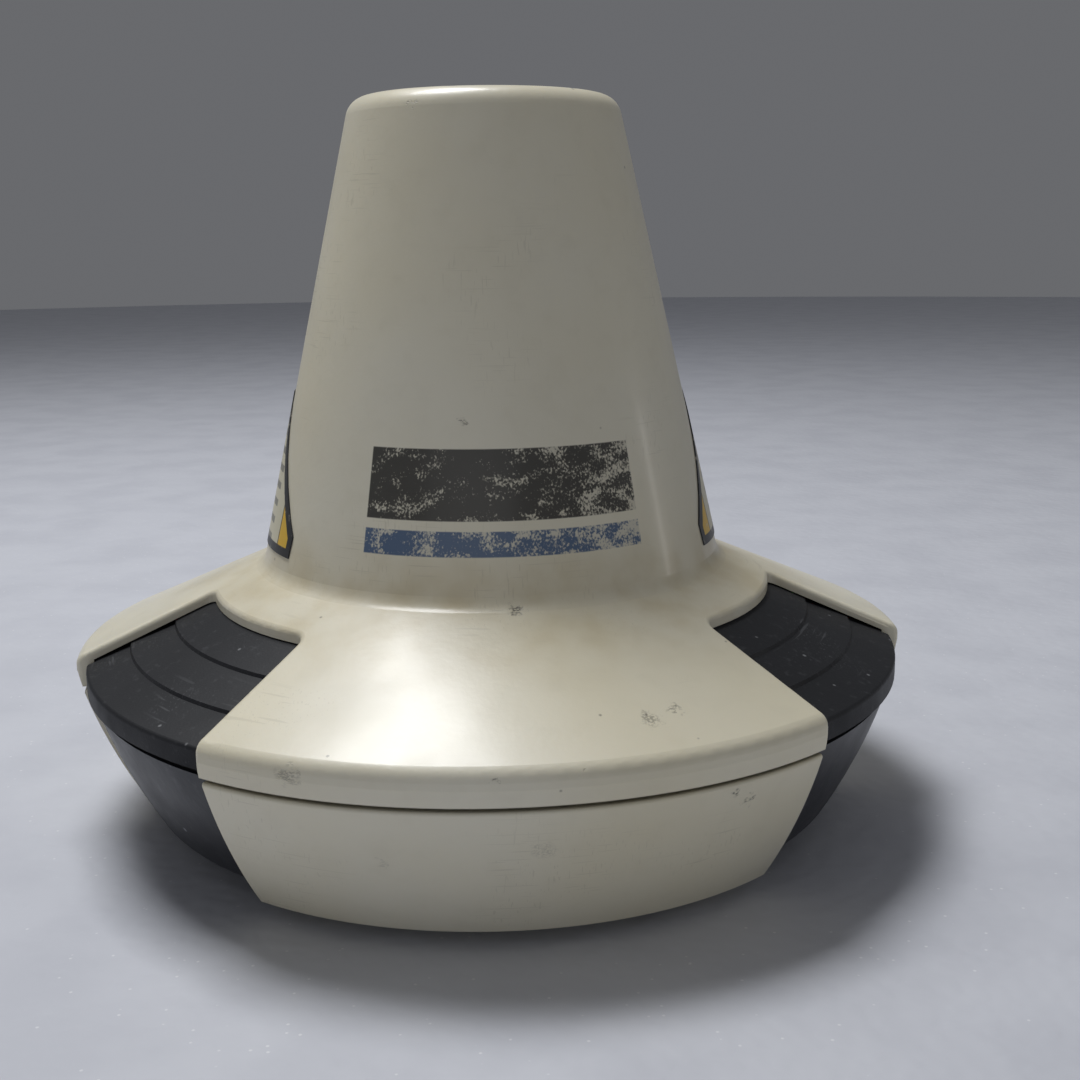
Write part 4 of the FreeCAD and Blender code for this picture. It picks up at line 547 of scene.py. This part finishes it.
FINISHES = {
    "ivory_asa_printed": (aged_asa, {"printed": True}),
    "ivory_asa": (aged_asa, {}),
    "yellow_polyester_film": (printed_film, {}),
    "charcoal_abs_sparked": (moulded_abs, {}),
    "satin_powder_coat": (powder_coat, {}),
    "nitrile_rubber": (moulded_rubber, {}),
    "turned_brass": (worked_metal, {"colour": "#C2A25E", "rough": 0.26, "tool_mm": 0.25, "stain": "#6E5632"}),
    "turned_stainless": (worked_metal, {"colour": "#BDBCB7", "rough": 0.24, "tool_mm": 0.3, "stain": "#77736C"}),
    "nickel_plate": (worked_metal, {"colour": "#C9C2B2", "rough": 0.18, "tool_mm": 0.4, "stain": "#8B8474"}),
    "gold_plate": (worked_metal, {"colour": "#E0B860", "rough": 0.16, "tool_mm": 0.4, "stain": "#B98B40"}),
    "spun_aluminium": (worked_metal, {"colour": "#C9CACB", "rough": 0.28, "tool_mm": 0.5, "stain": "#8E8F90"}),
    "black_nylon": (moulded_abs, {"colour": "#18181A", "grain": 0.35, "dust": 0.10, "rough": (0.42, 0.55)}),
    "solder_mask": (solder_mask, {}),
    "tinned_sheet": (sheet_metal, {}),
    "solder": (sheet_metal, {"colour": "#C4C3BE", "rough": 0.22}),
    "capacitor_can": (sheet_metal, {"colour": "#C6C7C9", "rough": 0.26}),
    "capacitor_band": (filled_epoxy, {"colour": "#101012"}),
    "chip_epoxy": (filled_epoxy, {}),
    "sintered_ferrite": (filled_epoxy, {"colour": "#26272A"}),
    "fired_ceramic": (clear_skinned, {"colour": "#A98E68", "rough": 0.35}),
    "resistor_glaze": (filled_epoxy, {"colour": "#0E0E10"}),
    "polycarbonate": (clear_skinned, {}),
    "copper_tape": (drawn_copper, {}),
    "amber_jacket": (clear_skinned, {"colour": "#9A5B2A", "rough": 0.3}),
    "open_foam": (open_foam, {}),
    "label_foil": (printed_foil, {}),
    "foam_board": (soft_board, {}),
}

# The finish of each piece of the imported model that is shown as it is.
LOOKS = {
    "radome": "ivory_asa_printed",
    "skirt_front": "ivory_asa",
    "skirt_right": "ivory_asa",
    "skirt_left": "ivory_asa",
    "side_stickers": "yellow_polyester_film",
    "deck_ring": "charcoal_abs_sparked",
    "lower_housing": "satin_powder_coat",
    "rim_gasket": "nitrile_rubber",
    "connector_seal": "nitrile_rubber",
    "vent_seal": "nitrile_rubber",
    "screw_inserts": "turned_brass",
    "board_standoffs": "turned_brass",
    "plane_standoffs": "turned_brass",
    "pole_bush": "turned_brass",
    "skirt_screws": "turned_stainless",
    "housing_screws": "turned_stainless",
    "pole_lock_screws": "turned_stainless",
    "earth_screw": "turned_stainless",
    "earth_washer": "turned_stainless",
    "plane_screws": "turned_stainless",
    "base_screws": "turned_stainless",
    "connector_shell": "nickel_plate",
    "connector_nut": "nickel_plate",
    "connector_pins": "gold_plate",
    "connector_insulator": "black_nylon",
    "vent_plug": "black_nylon",
    "vent_nut": "black_nylon",
    "rating_plate": "label_foil",
    "main_board": "solder_mask",
    "feed_board": "solder_mask",
    "rf_shield": "tinned_sheet",
    "digital_shield": "tinned_sheet",
    "supply_capacitors": "capacitor_can",
    "supply_inductor": "sintered_ferrite",
    "board_chips": "chip_epoxy",
    "ground_plane": "spun_aluminium",
    "helix_base": "polycarbonate",
    "helix_former": "polycarbonate",
    "helix_cap": "polycarbonate",
    "helix_arms": "copper_tape",
    "feed_coax": "amber_jacket",
    "foam_pad": "open_foam",
}


# ---------------------------------------------------------------- mesh helpers


def piece(name, vertices, faces, finishes, body, replaced=(), face_finish=None, smooth=True):
    """A mesh piece in metres, with its finishes, that rides on a body."""
    mesh = bpy.data.meshes.new(name)
    mesh.from_pydata([tuple(v) for v in vertices], [], faces)
    mesh.validate()
    for text in finishes:
        mesh.materials.append(bpy.data.materials[text])
    for polygon in mesh.polygons:
        polygon.use_smooth = smooth
        if face_finish:
            polygon.material_index = face_finish[polygon.index]
    thing = bpy.data.objects.new(name, mesh)
    bpy.context.scene.collection.objects.link(thing)
    if smooth:
        mesh.set_sharp_from_angle(angle=math.radians(32))
    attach(thing, body)
    if replaced:
        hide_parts(*replaced)
    return thing


def ring_grid(rows, count):
    """Faces of a closed grid: rows rings of count points, joined round and back to the first."""
    faces = []
    for row in range(rows):
        below, above = row * count, (row + 1) % rows * count
        for i in range(count):
            j = (i + 1) % count
            faces.append((below + i, below + j, above + j, above + i))
    return faces


def lathed(profile, count, centre=(0, 0), shape=None):
    """A ring of section profile, in mm. shape(radius, height, angle) may move its radius."""
    vertices = []
    for radius, height in profile:
        for i in range(count):
            angle = TURN * i / count
            r = shape(radius, height, angle) if shape else radius
            x, y = centre[0] + r * math.cos(angle), centre[1] + r * math.sin(angle)
            vertices.append(Vector((x, y, height)) * MM)
    return vertices, ring_grid(len(profile), count)


def thread_wave(height, angle, pitch):
    """0 at a thread's root, 1 at its crest, with a flat at both."""
    phase = (height / pitch - angle / TURN) % 1.0
    return min(1.0, max(0.0, 1.6 * (1 - abs(2 * phase - 1)) - 0.3))


def span(low, high, count):
    return [low + (high - low) * i / count for i in range(count + 1)]


# ---------------------------------------------------------------- pole bush and connector


def build_bush():
    """The brass bush with its real thread, chamfered at the mouth and relieved at the top."""
    low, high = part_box("pole_bush")
    foot, top, outer = low.z / MM, high.z / MM, high.x / MM
    bore = 11.7
    sizes = bpy.context.scene.dome_sizes
    pitch, depth = sizes.pole_pitch / MM, sizes.pole_depth / MM
    rows = [(bore, z) for z in span(foot + 0.9, top - 0.4, 74)]
    profile = [(outer - 0.5, foot), (bore + 1.3, foot), (bore + 1.2, foot + 0.1)]
    profile += rows + [(bore + 0.4, top), (outer, top), (outer, foot + 0.5)]

    def cut(radius, height, angle):
        if radius != bore:
            return radius
        fade = min(1.0, (top - height) / pitch)
        return bore + depth * fade * (1 - thread_wave(height, angle, pitch))

    vertices, faces = lathed(profile, 96, shape=cut)
    piece("pole_bush_threaded", vertices, faces, ["turned_brass"], "base", ["pole_bush"])


def build_connector():
    """The connector's threaded shell with its grip notches, and a keyed insulator face."""
    low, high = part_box("connector_shell")
    foot, top = low.z / MM, high.z / MM
    flange_foot, flange_top = foot + 5.0, foot + 7.0
    inner, shell, flange = 6.8, 8.0, high.x / MM
    pitch = bpy.context.scene.dome_sizes.coupling_pitch / MM
    profile = [(inner + 0.3, foot), (inner, foot + 0.3), (inner, top), (shell, top)]
    profile += [(shell, flange_top), (flange, flange_top), (flange, flange_top - 0.15)]
    profile += [(flange, flange_foot + 0.3), (flange - 0.3, flange_foot), (shell, flange_foot)]
    profile += [(shell + 0.001, z) for z in reversed(span(foot + 0.6, flange_foot - 0.4, 40))]
    profile += [(shell - 0.4, foot)]

    def cut(radius, height, angle):
        if radius == flange and math.cos(angle * 18) > 0.2:
            return flange - 0.25
        if radius == shell + 0.001:
            return shell - 0.45 * (1 - thread_wave(height, angle, pitch))
        return radius

    vertices, faces = lathed(profile, 144, shape=cut)
    shown = ["connector_shell"]
    piece("connector_shell_threaded", vertices, faces, ["nickel_plate"], "base", shown)

    key = bmesh.new()
    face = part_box("connector_insulator")[0].z
    for turn in (90, 205, 335):
        size = Matrix.Diagonal((1.1 * MM, 1.3 * MM, 2.6 * MM, 1))
        at = Matrix.Translation((0.0, (inner - 0.6) * MM, face - 1.25 * MM))
        bmesh.ops.create_cube(key, size=1, matrix=Matrix.Rotation(math.radians(turn), 4, "Z") @ at @ size)
    for angle in [None] + list(range(0, 360, 60)):
        x, y = (0, 0) if angle is None else (3.8 * math.cos(math.radians(angle)), 3.8 * math.sin(math.radians(angle)))
        turn = Matrix.Rotation(math.radians(-30), 4, "Z")
        at = turn @ Matrix.Translation((x * MM, y * MM, face - 0.15 * MM))
        bmesh.ops.create_cone(
            key, cap_ends=True, segments=24, radius1=0.95 * MM, radius2=1.15 * MM, depth=0.3 * MM, matrix=at
        )
    bmesh.ops.bevel(key, geom=key.edges[:], offset=0.06 * MM, segments=1, affect="EDGES")
    from_bmesh("connector_keys", key, ["black_nylon"], "base")


def from_bmesh(name, built, finishes, body, replaced=(), chosen=None):
    """A piece from a bmesh, which is freed."""
    built.verts.ensure_lookup_table()
    built.faces.ensure_lookup_table()
    vertices = [v.co.copy() for v in built.verts]
    faces = [[v.index for v in f.verts] for f in built.faces]
    material = [f.material_index for f in built.faces]
    built.free()
    return piece(name, vertices, faces, finishes, body, replaced, material)


# ---------------------------------------------------------------- radio board


def bevelled_box(built, centre, size, bevel, material=0, turn=0.0):
    """A box of a size at a centre, in mm, with rounded edges, added to a bmesh."""
    before = set(built.faces)
    at = Matrix.Translation(Vector(centre) * MM) @ Matrix.Rotation(turn, 4, "Z")
    scale = Matrix.Diagonal((*(s * MM for s in size), 1))
    made = bmesh.ops.create_cube(built, size=1, matrix=at @ scale)
    edges = list({e for v in made["verts"] for e in v.link_edges})
    bmesh.ops.bevel(built, geom=edges, offset=bevel * MM, segments=1, affect="EDGES")
    for face in built.faces:
        if face not in before:
            face.material_index = material


def board_frame():
    """The board's upper face in mm, and the turn of the board's own layout."""
    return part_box("main_board")[1].z / MM, math.radians(-30)


def spot(x, y, turn):
    """A place of the board's layout, turned with the board."""
    return x * math.cos(turn) - y * math.sin(turn), x * math.sin(turn) + y * math.cos(turn)


def build_chips():
    """Flat chips with a bevelled body, a first-pin dimple and gull-wing legs on four sides."""
    top, turn = board_frame()
    chips = bmesh.new()
    for sign_x in (-1, 1):
        for sign_y in (-1, 1):
            middle = (sign_x * 33.0, sign_y * 15.0)
            x, y = spot(*middle, turn)
            bevelled_box(chips, (x, y, top + 0.58), (4.9, 4.9, 0.84), 0.12, 0, turn)
            for side in range(4):
                for pin in range(7):
                    along = (pin - 3) * 0.62
                    for reach, height, long, tall in ((2.6, 0.42, 0.35, 0.14), (2.8, 0.10, 0.36, 0.14)):
                        corner = Vector((reach, along, 0))
                        corner.rotate(Matrix.Rotation(side * TURN / 4, 3, "Z"))
                        px, py = spot(middle[0] + corner.x, middle[1] + corner.y, turn)
                        size = (long, 0.26, tall)
                        bevelled_box(chips, (px, py, top + height), size, 0.03, 1, turn + side * TURN / 4)
            dx, dy = spot(middle[0] - 1.8, middle[1] + 1.8, turn)
            at = Matrix.Translation(Vector((dx, dy, top + 1.0)) * MM)
            bmesh.ops.create_cone(
                chips, cap_ends=True, segments=16, radius1=0.35 * MM, radius2=0.3 * MM, depth=0.02 * MM, matrix=at
            )
    from_bmesh("chips_with_legs", chips, ["chip_epoxy", "solder"], "base", ["board_chips"])


def build_capacitors():
    """Three radial cans: a rolled crimp near the foot, rounded shoulders and a scored top."""
    top, turn = board_frame()
    vertices, faces, material = [], [], []
    radius, height = 4.0, 9.0
    profile = [(0.02, top), (3.6, top), (3.9, top + 0.3), (radius, top + 1.0), (3.65, top + 1.5)]
    profile += [(radius, top + 2.0), (radius, top + height - 0.7), (3.8, top + height - 0.2)]
    profile += [(3.4, top + height), (3.0, top + height - 0.15), (0.02, top + height - 0.15)]
    for i in range(3):
        centre = spot(13.0 + i * 9.4, 0, turn)
        more, quads = lathed(profile, 48, centre)
        start = len(vertices)
        vertices += more
        faces += [tuple(start + v for v in quad) for quad in quads]
        for row in range(len(profile)):
            for column in range(48):
                sleeve = row in (5,) and not 30 <= column < 41
                material.append(1 if sleeve else 0)
    finishes = ["capacitor_can", "capacitor_band"]
    shown = ["supply_capacitors"]
    piece("supply_cans", vertices, faces, finishes, "base", shown, material)


def build_board_parts():
    """Small soldered parts: ceramic capacitors and glazed resistors, each with two tinned ends."""
    top, turn = board_frame()
    draw = random.Random(7)
    parts = bmesh.new()
    wanted = bpy.context.scene.dome_sizes.chips_parts
    taken = []
    tries = 0
    while len(taken) < wanted and tries < 20000:
        tries += 1
        x, y = draw.uniform(-46, 46), draw.uniform(-46, 46)
        if math.hypot(x, y) > 47 or not free_on_board(x, y) or any(abs(x - a) + abs(y - b) < 3.2 for a, b in taken):
            continue
        taken.append((x, y))
        lying = draw.choice((0.0, TURN / 4))
        long, wide, tall = draw.choice(((1.6, 0.8, 0.5), (1.0, 0.5, 0.4), (2.0, 1.25, 0.8)))
        ceramic = draw.random() < 0.55
        px, py = spot(x, y, turn)
        bevelled_box(parts, (px, py, top + tall / 2), (long * 0.62, wide * 0.96, tall * 0.96), 0.05, 0 if ceramic else 1, turn + lying)
        for sign in (-1, 1):
            off = Vector((sign * long * 0.4, 0, 0))
            off.rotate(Matrix.Rotation(turn + lying, 3, "Z"))
            at = (px + off.x, py + off.y, top + tall / 2)
            bevelled_box(parts, at, (long * 0.22, wide, tall), 0.06, 2, turn + lying)
    finishes = ["fired_ceramic", "resistor_glaze", "solder"]
    from_bmesh("board_small_parts", parts, finishes, "base")


def free_on_board(x, y):
    """Whether a place of the board's layout, in mm, is clear of its larger parts."""
    blocks = [(0, 19, 24, 13), (0, -18, 20, 12), (22.4, 0, 15, 5.6), (-20, 0, 7, 7), (0, 0, 14, 7)]
    blocks += [(sx * 33, sy * 15, 4.6, 4.6) for sx in (-1, 1) for sy in (-1, 1)]
    for cx, cy, half_x, half_y in blocks:
        if abs(x - cx) < half_x and abs(y - cy) < half_y:
            return False
    for angle in (60, 180, 300):
        px, py = 41 * math.cos(math.radians(angle)), 41 * math.sin(math.radians(angle))
        if math.hypot(x - px, y - py) < 6:
            return False
    return True


# ---------------------------------------------------------------- helix


def build_helix_joints():
    """Solder fillets where the four copper strips start, and the collar of the feed cable."""
    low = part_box("helix_arms")[0].z / MM
    blobs = bmesh.new()
    for i in range(4):
        angle = math.radians(90 * i - 30 + 2)
        for step, size in ((0.0, 1.0), (0.055, 0.7), (-0.05, 0.6)):
            x, y = 18.7 * math.cos(angle + step), 18.7 * math.sin(angle + step)
            at = Matrix.Translation(Vector((x, y, low + 0.7)) * MM)
            flat = Matrix.Diagonal((size * 0.9, size * 0.9, size * 0.8, 1))
            bmesh.ops.create_icosphere(blobs, subdivisions=3, radius=0.8 * MM, matrix=at @ flat)
    from_bmesh("helix_solder", blobs, ["solder"], "base")
    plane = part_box("ground_plane")[1].z / MM
    profile = [(2.0, plane + 8.5), (2.9, plane + 8.5), (3.4, plane + 8.9), (3.4, plane + 10.2)]
    profile += [(3.0, plane + 10.6), (2.0, plane + 10.6)]
    vertices, faces = lathed(profile, 32)
    piece("feed_collar", vertices, faces, ["solder"], "base")


# ---------------------------------------------------------------- stage


def aim(thing, target):
    direction = Vector(target) - thing.location
    thing.rotation_euler = direction.to_track_quat("-Z", "Y").to_euler()


def area_light(name, place, target, size, watts, tint_colour):
    light = bpy.data.lights.new(name, "AREA")
    light.shape = "RECTANGLE"
    light.size, light.size_y = size
    light.energy = watts
    light.color = tint_colour
    lamp = bpy.data.objects.new(name, light)
    bpy.context.scene.collection.objects.link(lamp)
    lamp.location = place
    aim(lamp, target)
    return lamp


def build_stage():
    """A pale floor, soft studio light and the camera."""
    stage = bpy.context.scene.dome_stage
    scene = bpy.context.scene
    reach, rings = 2.4, 40
    vertices = [(reach * (i / rings) * math.cos(a), reach * (i / rings) * math.sin(a), 0)
                for i in range(1, rings + 1) for a in (TURN * k / 64 for k in range(64))]
    faces = [f for f in ring_grid(rings, 64)][: (rings - 1) * 64]
    faces.append(tuple(range(64)))
    mesh = bpy.data.meshes.new("floor")
    mesh.from_pydata(vertices, [], faces)
    mesh.materials.append(bpy.data.materials["foam_board"])
    floor = bpy.data.objects.new("floor", mesh)
    scene.collection.objects.link(floor)

    world = bpy.data.worlds.new("room")
    world.use_nodes = True
    background = world.node_tree.nodes["Background"]
    background.inputs[0].default_value = rgba("#DADCE2")
    background.inputs[1].default_value = stage.air
    scene.world = world

    middle = (0, 0, 0.06)
    area_light("top_light", (-0.20, 0.24, 0.96), middle, (0.42, 0.36), stage.top_light, (0.97, 0.98, 1.0))
    area_light("front_light", (-0.25, -1.05, 0.25), middle, (0.9, 0.4), stage.front_light, (0.98, 0.98, 1.0))
    area_light("strip_light", (0.49, -0.01, 0.11), middle, (0.012, 0.10), stage.strip_light, (1.0, 0.97, 0.92))

    turn = math.radians(-3.2)
    pitch, yaw, roll = math.radians(12.3), math.radians(2.0) - turn, math.radians(-0.7)
    forward = Vector((math.sin(yaw) * math.cos(pitch), math.cos(yaw) * math.cos(pitch), -math.sin(pitch)))
    right = Vector((math.cos(yaw), -math.sin(yaw), 0))
    up = right.cross(forward)
    level = right * math.cos(roll) + up * math.sin(roll)
    upright = up * math.cos(roll) - right * math.sin(roll)
    camera = bpy.data.objects.new("camera", bpy.data.cameras.new("camera"))
    scene.collection.objects.link(camera)
    camera.data.lens = stage.lens
    camera.data.clip_start = 0.01
    axes = Matrix((level, upright, -forward)).transposed().to_4x4()
    place = Matrix.Rotation(turn, 4, "Z") @ Vector((0, -stage.distance, stage.height))
    camera.matrix_world = Matrix.Translation(place) @ axes
    scene.camera = camera
    scene.view_settings.view_transform = "Standard"


# ---------------------------------------------------------------- the add-on


def build_materials():
    """Every finish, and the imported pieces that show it."""
    for name, (paint, facts) in FINISHES.items():
        finish(name, paint, **facts)
    for node, look in LOOKS.items():
        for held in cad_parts[node].material_slots:
            held.material = bpy.data.materials[look]
    missing = set(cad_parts) - set(LOOKS)
    if missing:
        raise RuntimeError(f"no finish for {sorted(missing)}")


STEPS = [
    ("materials", "Finishes", build_materials),
    ("bush", "Pole bush", build_bush),
    ("connector", "Cable connector", build_connector),
    ("chips", "Chips", build_chips),
    ("capacitors", "Supply capacitors", build_capacitors),
    ("board_parts", "Small board parts", build_board_parts),
    ("helix_joints", "Helix joints", build_helix_joints),
    ("stage", "Stage", build_stage),
]


class DOME_OT_materials(bpy.types.Operator):
    """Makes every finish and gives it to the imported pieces"""

    bl_idname = "dome.materials"
    bl_label = "Finishes"

    def execute(self, context):
        build_materials()
        return {"FINISHED"}


class DOME_OT_bush(bpy.types.Operator):
    """Cuts the thread of the pole bush"""

    bl_idname = "dome.bush"
    bl_label = "Pole bush"

    def execute(self, context):
        build_bush()
        return {"FINISHED"}


class DOME_OT_connector(bpy.types.Operator):
    """Builds the threaded shell and the keys of the cable connector"""

    bl_idname = "dome.connector"
    bl_label = "Cable connector"

    def execute(self, context):
        build_connector()
        return {"FINISHED"}


class DOME_OT_chips(bpy.types.Operator):
    """Builds the chips with their legs"""

    bl_idname = "dome.chips"
    bl_label = "Chips"

    def execute(self, context):
        build_chips()
        return {"FINISHED"}


class DOME_OT_capacitors(bpy.types.Operator):
    """Builds the supply capacitors"""

    bl_idname = "dome.capacitors"
    bl_label = "Supply capacitors"

    def execute(self, context):
        build_capacitors()
        return {"FINISHED"}


class DOME_OT_board_parts(bpy.types.Operator):
    """Places the small soldered parts on the board"""

    bl_idname = "dome.board_parts"
    bl_label = "Small board parts"

    def execute(self, context):
        build_board_parts()
        return {"FINISHED"}


class DOME_OT_helix_joints(bpy.types.Operator):
    """Builds the solder joints of the helix"""

    bl_idname = "dome.helix_joints"
    bl_label = "Helix joints"

    def execute(self, context):
        build_helix_joints()
        return {"FINISHED"}


class DOME_OT_stage(bpy.types.Operator):
    """Builds the floor, the lights and the camera"""

    bl_idname = "dome.stage"
    bl_label = "Stage"

    def execute(self, context):
        build_stage()
        return {"FINISHED"}


OPERATORS = (
    DOME_OT_materials,
    DOME_OT_bush,
    DOME_OT_connector,
    DOME_OT_chips,
    DOME_OT_capacitors,
    DOME_OT_board_parts,
    DOME_OT_helix_joints,
    DOME_OT_stage,
)


class DOME_PT_panel(bpy.types.Panel):
    """Lists the antenna's builders"""

    bl_idname = "DOME_PT_panel"
    bl_label = "Dome antenna"
    bl_space_type = "VIEW_3D"
    bl_region_type = "UI"
    bl_category = "Antenna"

    def draw(self, context):
        for operator in OPERATORS:
            self.layout.operator(operator.bl_idname)


GROUPS = (("dome_colours", DomeColours), ("dome_sizes", DomeSizes), ("dome_stage", DomeStage))


def register():
    for name, group in GROUPS:
        bpy.utils.register_class(group)
        setattr(bpy.types.Scene, name, PointerProperty(type=group))
    for shown in (*OPERATORS, DOME_PT_panel):
        bpy.utils.register_class(shown)


def unregister():
    for shown in (*OPERATORS, DOME_PT_panel):
        bpy.utils.unregister_class(shown)
    for name, group in GROUPS:
        delattr(bpy.types.Scene, name)
        bpy.utils.unregister_class(group)


def main():
    register()
    for operator in OPERATORS:
        group, name = operator.bl_idname.split(".")
        getattr(getattr(bpy.ops, group), name)()


if __name__ == "__main__":
    main()
